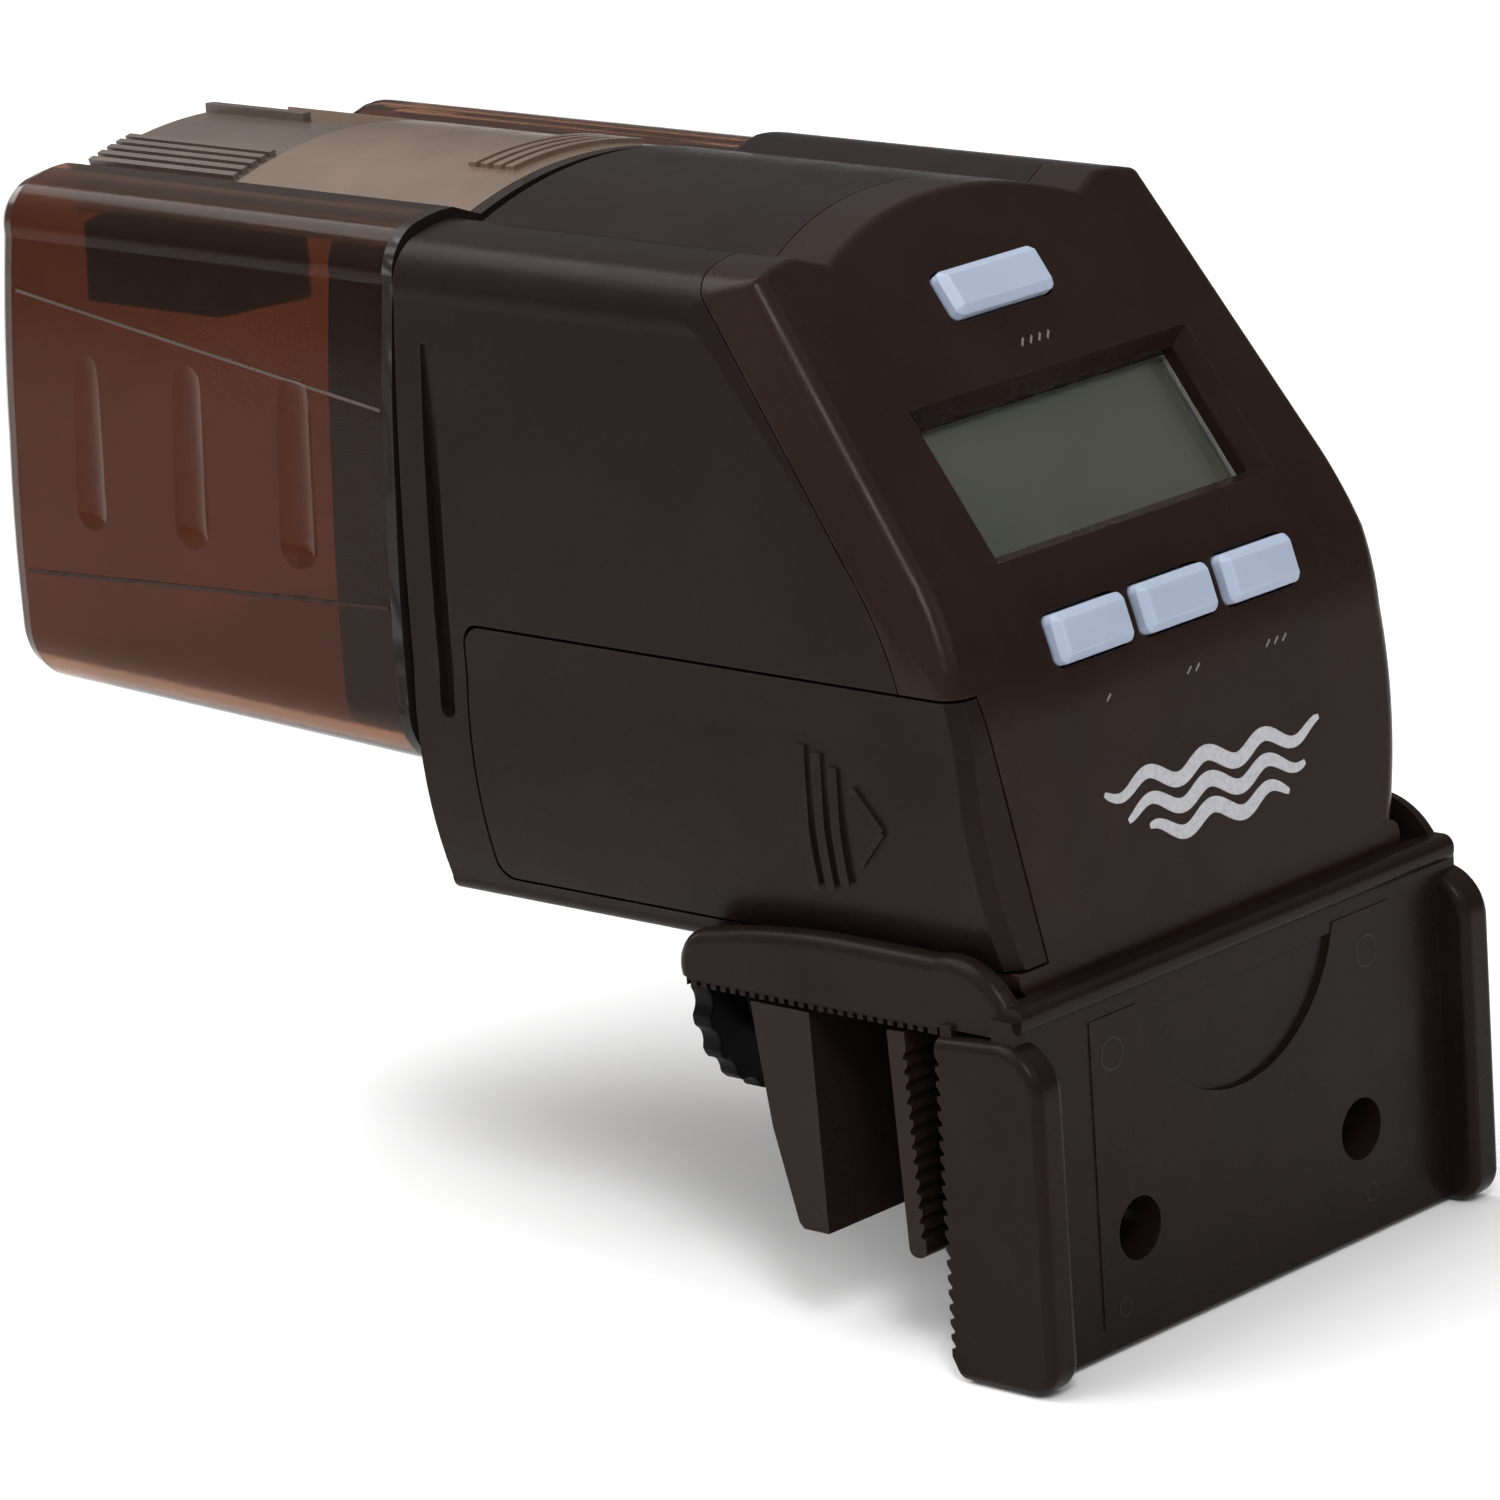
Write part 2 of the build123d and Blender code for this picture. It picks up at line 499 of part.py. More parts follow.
def gearbox():
    """Inner bearing plate, its screws, the motor and the bush in the end wall."""
    plate = rounded_bar(-18, 29, GEAR_PLATE_Y0, GEAR_PLATE_Y1, 36.4, 62, 3, Axis.Y)
    plate += rounded_bar(-1.8, 29, GEAR_PLATE_Y0, GEAR_PLATE_Y1, 8.8, 50, 3, Axis.Y)
    plate -= rod_y(0, DRUM_AXIS_Z, 50, 56, 1.55)
    plate -= rod_y(*MOTOR, 50, 56, 3.1)
    for x, z in AXLES.values():
        plate -= rod_y(x, z, 50, 56, 1.0)
    for x, z in PLATE_POSTS:
        plate -= rod_y(x, z, 50, 56, 1.1)
    node("gearbox_plate", plate)

    screws = []
    for x, z in PLATE_POSTS:
        head = rod_y(x, z, GEAR_PLATE_Y0 - 1.4, GEAR_PLATE_Y0, 2.0)
        cross = Pos(x, GEAR_PLATE_Y0 - 1.4, z) * (Box(2.6, 1.2, 0.6) + Box(0.6, 1.2, 2.6))
        shank = rod_y(x, z, GEAR_PLATE_Y0, GEAR_PLATE_Y0 + 8, 0.9)
        screws.append(head + shank - cross)
    node("gearbox_screws", Compound(children=screws))

    can = rod_y(*MOTOR, 28.6, 52.6, 10.0) & box(MOTOR[0] - 10, MOTOR[0] + 10, 20, 60, MOTOR[1] - 7.5, MOTOR[1] + 7.5)
    can += rod_y(*MOTOR, 52.5, 53.9, 3.0)
    cap = rod_y(*MOTOR, 26.4, 28.6, 9.6) & box(MOTOR[0] - 9.6, MOTOR[0] + 9.6, 20, 60, MOTOR[1] - 7.1, MOTOR[1] + 7.1)
    can -= rod_y(*MOTOR, 48.0, 60, 1.1)
    node("motor_can", can)
    tabs = Part()
    for side in (-1, 1):
        tabs += Pos(MOTOR[0] + side * 7, 24.9, MOTOR[1]) * Box(0.5, 3.2, 2.2)
    node("motor_end_cap", cap + tabs)

    bush = rod_y(0, DRUM_AXIS_Z, REAR_Y - 2.5, REAR_Y + 0.3, 5.0)
    bush += rod_y(0, DRUM_AXIS_Z, REAR_Y - 2.7, REAR_Y - WALL, 6.4)
    node("shaft_bush", bush - rod_y(0, DRUM_AXIS_Z, 60, 70, SHAFT_R + 0.05))

    switch = box(-21.0, -8.6, 54.4, 59.6, 47.6, 53.6)
    for x in (-19.6, -15.0, -10.4):
        switch += box(x - 0.4, x + 0.4, 56.6, 57.2, 53.4, 55.0)
    switch += box(-19.8, -7.2, 55.4, 57.0, 46.6, 47.0) + box(-19.8, -19.2, 55.4, 57.0, 46.6, 47.8)
    switch += rod_y(-7.5, 46.0, 55.4, 57.0, 0.9)
    node("position_switch", switch)


# ---------------------------------------------------------------- batteries
CELL_R = 7.1
CELL_Y0, CELL_Y1 = 8.0, 58.1           # minus end and tip of the plus end
BAY_Y0, BAY_Y1 = 4.8, 62.2             # inside of the holder, with springs and contacts
CELLS = {"cell_lower": (-22.4, 14.5), "cell_upper": (-11.5, 24.2)}


def bay_envelope(radial, front, rear):
    """Both cell channels with their way out to the left, grown by the given amounts."""
    env = Part()
    y0, y1, r = BAY_Y0 - front, BAY_Y1 + rear, CELL_R + radial
    for x, z in CELLS.values():
        env += rod_y(x, z, y0, y1, r)
        env += box(-60, x, y0, y1, z - r, z + r)
    return env


def battery_bay():
    limit = box(-28.9, 0, 0, 64, HOUSING_Z + WALL + 0.1, 40)
    tray = (bay_envelope(1.7, 0.8, 1.2) & limit) - bay_envelope(0.35, 0, 0)
    node("battery_tray", tray & prism_y(offset(section(*HOUSING), amount=-WALL - 0.2), -30, 64))
    for name, (x, z) in CELLS.items():
        body = rod_y(x, z, CELL_Y0, CELL_Y1 - 1.1, CELL_R)
        body = fillet(body.edges(), 0.5)
        nub = rod_y(x, z, CELL_Y1 - 1.2, CELL_Y1, 2.6)
        cell = body + nub
        if name == "cell_upper":
            middle = (CELL_Y0 + CELL_Y1) / 2
            cell = mirror(cell, about=Plane((0, middle, 0), z_dir=(0, 1, 0)))
        node(name, cell)

    (x0, z0), (x1, z1) = CELLS.values()
    t, pad = 0.4, 4.6
    front_y, rear_y = BAY_Y0 + 0.1, BAY_Y1 - 0.5
    bridge = rod_y(x0, z0, front_y, front_y + t, pad) + rod_y(x1, z1, front_y, front_y + t, pad)
    tilt = degrees(atan2(z1 - z0, x1 - x0))
    bar = Pos((x0 + x1) / 2, front_y + t / 2, (z0 + z1) / 2) * Rot(0, -tilt, 0)
    bridge += bar * Box(hypot(x1 - x0, z1 - z0), t, 5.0)
    bridge += rod_y(x1, z1, front_y, CELL_Y0 - 0.05, 1.8)
    plus = rod_y(x0, z0, rear_y, rear_y + t, pad) + rod_y(x0, z0, CELL_Y1 + 0.05, rear_y + t, 1.8)
    minus = rod_y(x1, z1, rear_y, rear_y + t, pad)
    node("battery_contacts", Compound(children=[bridge, plus, minus]))

    springs = []
    spans = ((x0, z0, front_y + t, CELL_Y0 - 0.05), (x1, z1, CELL_Y1 + 0.05, rear_y))
    for x, z, y0, y1 in spans:
        wire, coil_r, turns = 0.35, 4.0, 4
        pitch = (y1 - y0 - 2 * wire) / (turns - 1)
        coil = Part()
        for k in range(turns):
            coil += Pos(x, y0 + wire + k * pitch, z) * Rot(90, 0, 0) * Torus(coil_r, wire)
        for k in range(turns - 1):
            side = 1 if k % 2 else -1
            y = y0 + wire + k * pitch
            coil += rod_y(x + side * coil_r, z, y, y + pitch, wire * 0.8)
        springs.append(coil)
    node("battery_springs", Compound(children=springs))


# ---------------------------------------------------------------- electronics
LENS_DEPTH = 3.5           # how far the clear pane lies behind the panel
BOARD_DEPTH = 9.1          # front of the control board behind the panel
ROW_BOARD_DEPTH = 7.2      # front of the small key board behind the button row
BUTTON_REACH = 4.2         # how far a button's stem reaches in
PLUNGER_DEPTH = BUTTON_REACH + BUTTON_TRAVEL + 0.3


def electronics():
    place = panel_place(LCD_X, LCD_Z)
    open_w, open_h = LCD_W - 2 * LCD_BEVEL, LCD_H - 2 * LCD_BEVEL
    lens = Pos(0, 0, -LENS_DEPTH - 0.5) * Box(open_w - 0.2, open_h - 0.2, 1.0)
    node("lcd_lens", place * lens)
    glass = Pos(0, 0, -5.9) * Box(39.6, 16.2, 2.2)
    frame = Pos(0, 0, -7.15) * Box(42.6, 19.0, 3.3) - Pos(0, 0, -5.9) * Box(39.8, 16.4, 2.4)
    node("lcd_glass", place * glass)
    node("lcd_holder", place * frame)

    board = place * Pos(0, 7.0, -BOARD_DEPTH - 0.8) * Box(50, 31, 1.6)
    node("control_board", board & housing_cavity())

    back = -BOARD_DEPTH - 1.6
    chips = [
        place * Pos(6, 4, back - 1.0) * Box(14, 8, 2.0),
        place * Pos(-12, 10, back - 0.7) * Box(6, 5, 1.4),
        place * Pos(-8, 0, back - 1.5) * Rot(90, 0, 0) * Cylinder(1.5, 6),
        place * Pos(17, 12, back - 2.5) * Cylinder(2.5, 5.0),
    ]
    node("board_components", Compound(children=chips))

    key_board = row_place(BUTTON_ROW_X) * Pos(0, 1.0, -ROW_BOARD_DEPTH - 0.5) * Box(36, 7, 1.0)
    node("key_board", key_board)

    for name, (spot, width) in BUTTONS.items():
        cap_t = BUTTON_OUT + 3.2
        cap = Pos(0, 0, BUTTON_OUT - cap_t / 2) * Box(width, BUTTON_H, cap_t)
        cap = fillet(cap.edges().filter_by(Axis.Z), 0.9)
        cap = chamfer(cap.faces().sort_by(Axis.Z)[-1].edges(), 0.8)
        collar = Pos(0, 0, -3.0) * Box(width + 1.6, BUTTON_H + 1.6, 0.6)
        stem = Pos(0, 0, -(BUTTON_REACH + 3.0) / 2) * Cylinder(1.3, BUTTON_REACH - 3.0)
        node(name, spot * (cap + collar + stem))

    switches = []
    for name, (spot, width) in BUTTONS.items():
        depth = BOARD_DEPTH if name == "button_feed" else ROW_BOARD_DEPTH
        height = depth - PLUNGER_DEPTH - 0.6
        base = Pos(0, 0, -depth + height / 2) * Box(5.0, 4.4, height)
        plunger = Pos(0, 0, -PLUNGER_DEPTH - 0.4) * Cylinder(1.0, 0.8)
        switches.append(spot * (base + plunger))
    node("tact_switches", Compound(children=switches))


def bezel_screws():
    screws = []
    for x in BEZEL_SCREWS:
        head = rod_z(x, BEZEL_SCREW_Y, HOUSING_Z + 0.1, HOUSING_Z + 1.2, 2.8)
        shank = rod_z(x, BEZEL_SCREW_Y, HOUSING_Z + 1.2, HOUSING_Z + 6.8, 1.3)
        cross = Pos(x, BEZEL_SCREW_Y, HOUSING_Z + 0.3) * (Box(3, 0.7, 1.0) + Box(0.7, 3, 1.0))
        screws.append(head + shank - cross)
    node("bezel_screws", Compound(children=screws))


# ---------------------------------------------------------------- food drum
DRUM_NEAR = (DRUM_Z0, 26.0, 0.0, 19.0)
DRUM_FAR = (DRUM_Z0 + 1.9, 25.5, 0.0, 20.5)
DRUM_NARROW = 0.985        # the drum draws in a little towards its free end
END_ROUNDING = ((3.5, 0.0), (2.0, 0.5), (0.9, 1.3), (0.2, 2.4), (0.0, 3.2))     # back, inset


def drum_loft(grow, y0, y1):
    """Drum body between two planes, grown or shrunk all round."""
    near = section(*DRUM_NEAR, lid_drop=LID_DROP)
    far = section(*DRUM_FAR, lid_drop=LID_DROP, narrow=DRUM_NARROW)
    if grow:
        near, far = offset(near, amount=grow), offset(far, amount=grow)
    solid = loft([Pos(0, DRUM_Y0, 0) * near, Pos(0, DRUM_Y1, 0) * far], ruled=True)
    if y0 > DRUM_Y0 or y1 < DRUM_Y1:
        solid = solid & box(-60, 60, y0, y1, -20, 120)
    return solid


def drum_outside():
    """Drum body with its free end rounded over."""
    faces = [Pos(0, DRUM_Y0, 0) * section(*DRUM_NEAR, lid_drop=LID_DROP)]
    far = section(*DRUM_FAR, lid_drop=LID_DROP, narrow=DRUM_NARROW)
    for back, inset in END_ROUNDING:
        faces.append(Pos(0, DRUM_Y1 - back, 0) * (offset(far, amount=-inset) if inset else far))
    body = loft(faces[:2], ruled=True)
    for low, high in zip(faces[1:], faces[2:]):
        body += loft([low, high], ruled=True)
    return body


FLOOR_R = ARCH_R - LID_DROP            # outer radius of the drum's arched floor under the lid
WINDOW_Y = (105.0, 121.5)              # feed window
WINDOW_A = (-19.5, -9.5)               # its edges as angles round the arch centre
FILL_Y = (73.5, 101.0)


def arch_band(r0, r1, a0, a1, y0, y1):
    """Piece of a ring round the arch centre between two angles from the crown."""
    ring = rod_y(0, ARCH_CENTRE_Z, y0, y1, r1) - rod_y(0, ARCH_CENTRE_Z, y0 - 1, y1 + 1, r0)
    wide = 80.0
    def ray(a):
        return (wide * sin(radians(a)), wide * cos(radians(a)))
    mid = ray((a0 + a1) / 2)
    pts = [(0.0, 0.0), ray(a0), (mid[0] * 1.4, mid[1] * 1.4), ray(a1)]
    outline = Polyline(*[(x, 0, ARCH_CENTRE_Z + z) for x, z in pts], close=True)
    wedge = extrude(Pos(0, y0 - 2, 0) * make_face(outline), amount=y1 - y0 + 4, dir=(0, 1, 0))
    return ring & wedge


GROOVE_Z = HOUSING_Z + VALLEY_Z - LID_DROP


def lid_grooves():
    z = GROOVE_Z + 0.3
    return mirrored(box(VALLEY_X - 0.6, VALLEY_X + 1.0, DRUM_Y0 + 1.2, DRUM_Y1 + 1, z, z + 1.4))


def rest_turn(shape):
    """Turn a piece of the drum about the drive shaft to where the drum stops at rest."""
    centre = Pos(0, 0, DRUM_AXIS_Z)
    return centre * Rot(0, DRUM_REST_TURN, 0) * centre.inverse() * shape


def drum():
    outer = drum_outside()
    inner = drum_loft(-DRUM_WALL, DRUM_Y0 - 1, DRUM_Y1 - DRUM_WALL)
    shell = outer - inner - lid_grooves()
    cap_room = box(-60, 60, DRUM_Y0 - 1, DRUM_Y0, -20, 120)
    shell = shell - cap_room
    shell -= arch_band(FLOOR_R - 6, ARCH_R + 4, -15.5, 15.5, *FILL_Y)
    shell -= arch_band(FLOOR_R - 6, ARCH_R + 4, *WINDOW_A, *WINDOW_Y)
    flutes = Part()
    for y in (81.4, 97.0, 112.0):
        flutes += Pos(-37.4, y, 45.0) * Cylinder(5.2, 15) + Pos(-37.4, y, 52.5) * Sphere(5.2)
        flutes += Pos(-37.4, y, 37.5) * Sphere(5.2)
    shell -= mirrored(flutes)
    node("drum_shell", rest_turn(shell))

    flange = prism_y(section(*DRUM_NEAR), CAP_FLANGE_Y, DRUM_Y0)
    plug = drum_loft(-DRUM_WALL - 0.15, DRUM_Y0, DRUM_Y0 + CAP_DEPTH)
    hollow = drum_loft(-DRUM_WALL - 1.75, DRUM_Y0, DRUM_Y0 + CAP_DEPTH - 1.6)
    hollow += prism_y(offset(section(*DRUM_NEAR, lid_drop=LID_DROP), amount=-DRUM_WALL - 1.75), CAP_FLANGE_Y - 1, DRUM_Y0)
    hub = rod_y(0, DRUM_AXIS_Z, CAP_FLANGE_Y, DRUM_Y0 + CAP_DEPTH, 8.0)
    cap = flange + plug - hollow + hub
    for k in range(6):
        cap += Pos(0, 0, DRUM_AXIS_Z) * Rot(0, 60 * k, 0) * box(7, 22, CAP_FLANGE_Y + 1.5, DRUM_Y0 + 8, -0.7, 0.7)
    cap -= rod_y(0, DRUM_AXIS_Z, CAP_FLANGE_Y - 1, DRUM_Y0 + 0.2, SHAFT_R + 0.3)
    cap -= Pos(0, DRUM_Y0 + 3.4, DRUM_AXIS_Z) * Box(4.3, 8.0, 4.3)
    node("drum_end_cap", rest_turn(cap))

    chute = box(-20.6, -7.2, WINDOW_Y[0] - 1.6, WINDOW_Y[1] + 1.6, 56.6, 75)
    chute -= box(-19.4, -8.4, WINDOW_Y[0] - 0.4, WINDOW_Y[1] + 0.4, 50, 80)
    chute = chute & rod_y(0, ARCH_CENTRE_Z, 100, 125, FLOOR_R - DRUM_WALL - 0.05)
    node("feed_chute", rest_turn(chute))


def lid_and_shutter():
    lid_in, lid_out = ARCH_R - LID_T, ARCH_R
    edge_a = degrees(atan2(VALLEY_X - LID_GAP, VALLEY_Z - (ARCH_Z - ARCH_R)))
    lid = arch_band(lid_in, lid_out, -edge_a, edge_a, DRUM_Y0 + 0.3, DRUM_Y1 - 0.2)
    z = GROOVE_Z + 0.6
    tongue = mirrored(box(VALLEY_X - 0.9, VALLEY_X + 0.6, DRUM_Y0 + 1.6, DRUM_Y1 - 0.4, z, z + 0.8))
    lid += tongue
    shutter_y0 = WINDOW_Y[0] - 2.0
    recess_r = ARCH_R - SHUTTER_T - 0.3
    lid -= arch_band(recess_r, ARCH_R + 3, -edge_a - 2, 14.2, shutter_y0 - 0.3, DRUM_Y1 + 2)
    lid -= arch_band(lid_in - 3, ARCH_R + 4, *WINDOW_A, *WINDOW_Y)
    keeper = arch_band(recess_r, recess_r + 0.45, -2.0, 14.2, DRUM_Y1 - 1.0, DRUM_Y1 - 0.3)
    for k in range(4):
        y = 71.8 + 1.75 * k
        rib = arch_band(ARCH_R - 0.3, ARCH_R + 0.55, -10.6, 10.6, y - 0.5, y + 0.5)
        lid += rib
    node("fill_lid", rest_turn(lid + keeper))

    r0, r1 = recess_r + 0.05, recess_r + 0.05 + SHUTTER_T
    left = -edge_a + 0.4
    shutter = arch_band(r0, r1, left, 0.9, shutter_y0, DRUM_Y1 - 1.4)
    for k in range(5):
        a = left + 0.9 + 1.55 * k
        shutter += arch_band(r1 - 0.2, r1 + 0.7, a - 0.42, a + 0.42, shutter_y0 + 0.5, DRUM_Y1 - 1.4)
    bar = arch_band(r1 - 0.2, r1 + 1.0, -0.6, 0.7, 110.5, DRUM_Y1 - 1.4)
    node("feed_shutter", rest_turn(shutter + bar))


# ---------------------------------------------------------------- bracket
def saw_rack(x0, x1, z0, z1, y_tip, facing):
    """Row of saw teeth cut on an upright face; facing is +1 for +Y and -1 for -Y."""
    cuts = Part()
    count = int((z1 - z0) / TOOTH_PITCH)
    for k in range(count):
        z = z1 - k * TOOTH_PITCH
        tip = y_tip + 0.3 * facing
        root = y_tip - TOOTH_DEPTH * facing
        pts = [(tip, z), (root, z - TOOTH_PITCH * 0.72), (root, z - TOOTH_PITCH * 0.9), (tip, z - TOOTH_PITCH)]
        cuts += prism_x(pts, x0, x1)
    return cuts


def tray_rim():
    """One raised side rim with its rounded ends, seen in side view."""
    front, rear, low = -10.6, TRAY_REAR, TRAY_FLOOR
    wires = [
        Line((0, front, low), (0, front, 3.2)),
        ThreePointArc((0, front, 3.2), (0, -7.9, 6.5), (0, -1.0, RIM_Z)),
        Line((0, -1.0, RIM_Z), (0, 8.0, RIM_Z)),
        ThreePointArc((0, 8.0, RIM_Z), (0, 19.0, 7.4), (0, 28.8, 6.0)),
        ThreePointArc((0, 28.8, 6.0), (0, 31.4, 4.6), (0, rear, 2.0)),
        Line((0, rear, 2.0), (0, rear - 0.4, low)),
        Line((0, rear - 0.4, low), (0, front, low)),
    ]
    rim = extrude(Pos(TRAY_X - RIM_T, 0, 0) * make_face(wires), amount=RIM_T, dir=(1, 0, 0))

    def top_edges(x, z_min):
        return [e for e in rim.edges() if abs((e @ 0).X - x) < 0.01 and abs((e @ 1).X - x) < 0.01
                and (e @ 0.5).Z > z_min]

    rim = fillet(top_edges(TRAY_X, 3.5), RIM_ROUNDING)
    return rim


def plate_flange():
    """One side flange of the plate, a thick bar with round corners, seen in side view."""
    top_z, foot_z = 0.8, PLATE_Z
    outline = [
        Line((0, GRIP_Y, 0.3), (0, -9.4, top_z)),
        ThreePointArc((0, -9.4, top_z), (0, -13.1, -0.5), (0, FLANGE_Y, -4.4)),
        Line((0, FLANGE_Y, -4.4), (0, FLANGE_Y, foot_z + 3.0)),
        ThreePointArc((0, FLANGE_Y, foot_z + 3.0), (0, -13.8, foot_z + 0.9), (0, -11.6, foot_z)),
        Line((0, -11.6, foot_z), (0, GRIP_Y - 1.3, foot_z)),
        Line((0, GRIP_Y - 1.3, foot_z), (0, GRIP_Y, foot_z + 2.4)),
        Line((0, GRIP_Y, foot_z + 2.4), (0, GRIP_Y, 0.3)),
    ]
    flange = extrude(Pos(FLANGE_X - FLANGE_T, 0, 0) * make_face(outline), amount=FLANGE_T, dir=(1, 0, 0))
    front = [e for e in flange.edges() if (e @ 0.5).Y < -11.7 and abs((e @ 0).X - (e @ 1).X) < 0.01]
    return fillet(front, FLANGE_ROUNDING)


def bracket():
    floor = box(-TRAY_X + 0.5, TRAY_X - 0.5, -11.0, TRAY_REAR, TRAY_FLOOR, HOUSING_Z - 0.1)
    floor = fillet(floor.edges().filter_by(Axis.Z).sort_by(Axis.Y)[-2:], 3.0)
    tray = floor + mirrored(tray_rim())
    tray += box(-TRAY_X + 0.6, TRAY_X - 0.6, WEB_Y, -9.2, -1.0, HOUSING_Z - 0.5)
    lip = box(-TRAY_X + 0.3, TRAY_X - 0.3, WEB_Y - LIP_PROUD, -9.2, 1.4, HOUSING_Z + 0.6)
    tray += fillet(lip.edges().filter_by(Axis.X).sort_by(Axis.Y)[:2], 1.2)
    # fine rack under both side rims, where the screw carrier is set
    strip = mirrored(box(TRAY_X - 3.0, TRAY_X - 0.5, -1.0, TRAY_REAR - 1.0, 0.0, TRAY_FLOOR))
    for k in range(25):
        y = 0.2 + 1.27 * k
        strip -= box(-40, 40, y, y + 0.6, -0.1, 0.55)
    tray += strip
    # guide rails with inward flanges
    for side in (-1, 1):
        x0, x1 = sorted((side * RAIL_X, side * (RAIL_X + RAIL_T)))
        f0, f1 = sorted((side * (RAIL_X - 2.2), side * (RAIL_X + RAIL_T)))
        tray += box(x0, x1, RAIL_Y0, TRAY_REAR - 1.0, -2.4, TRAY_FLOOR)
        tray += box(f0, f1, RAIL_Y0, TRAY_REAR - 1.0, -3.6, -2.2)
    # ledge that rests on the glass edge; its underside is the seat
    tray += box(-31.0, 31.0, GRIP_Y - 0.4, 0.3, 0.0, TRAY_FLOOR + 0.5)

    web = box(-FLANGE_X + 1, FLANGE_X - 1, WEB_Y, WEB_Y + WEB_T, PLATE_Z + 0.5, HOUSING_Z - 0.5)
    web += box(-23.6, 23.6, WEB_Y - 0.15, WEB_Y + 0.5, PLATE_Z + 3.0, 0.0)
    flange = plate_flange()
    plate = web + mirrored(flange)
    for x in (-27.0, -9.0, 0.0, 9.0, 27.0):
        plate += box(x - 0.9, x + 0.9, WEB_Y + 1, GRIP_Y, PLATE_Z + 1.5, TRAY_FLOOR + 0.5)
    for x in (-SCREW_HOLE_X, SCREW_HOLE_X):
        plate += rod_y(x, SCREW_HOLE_Z, WEB_Y + 1, GRIP_Y - 1.0, 5.4)
    grip = box(-FLANGE_X + 1, FLANGE_X - 1, GRIP_Y - 1.4, GRIP_Y, PLATE_Z + 2.0, TRAY_FLOOR + 0.5)
    pocket = box(-FLANGE_X + 5, FLANGE_X - 5, GRIP_Y - 3, GRIP_Y + 1, -16.5, -5.0)
    plate += grip - pocket
    plate -= saw_rack(-50, 50, PLATE_Z + 2.4, -1.0, GRIP_Y, 1)
    for x in (-SCREW_HOLE_X, SCREW_HOLE_X):
        plate -= rod_y(x, SCREW_HOLE_Z, -30, 5, SCREW_HOLE_R)
    # shallow half-round panel under the tray
    disc = rod_y(-1.0, 3.3, WEB_Y - 1.0, WEB_Y + 0.45, 15.8) & box(-40, 40, -20, 0, -30, 1.2)
    plate -= disc
    node("bracket", tray + plate)


def rail_room(y0, y1):
    """Clear space round the tray's guide rails and side racks."""
    neck_x = RAIL_X - 2.2 - 0.35
    room = box(neck_x, RAIL_X + RAIL_T + 0.35, y0, y1, -3.95, 2)
    return mirrored(room + box(TRAY_X - 3.4, 40, y0, y1, -0.45, 2))


def slide_head(y0, y1):
    """T-shaped head that hangs a clamp piece in the guide rails."""
    neck_x = RAIL_X - 2.2 - 0.35
    neck = box(-neck_x, neck_x, y0, y1, -4.4, -0.9)
    return neck + box(-RAIL_X + 0.35, RAIL_X - 0.35, y0, y1, -1.85, TRAY_FLOOR - 0.35)


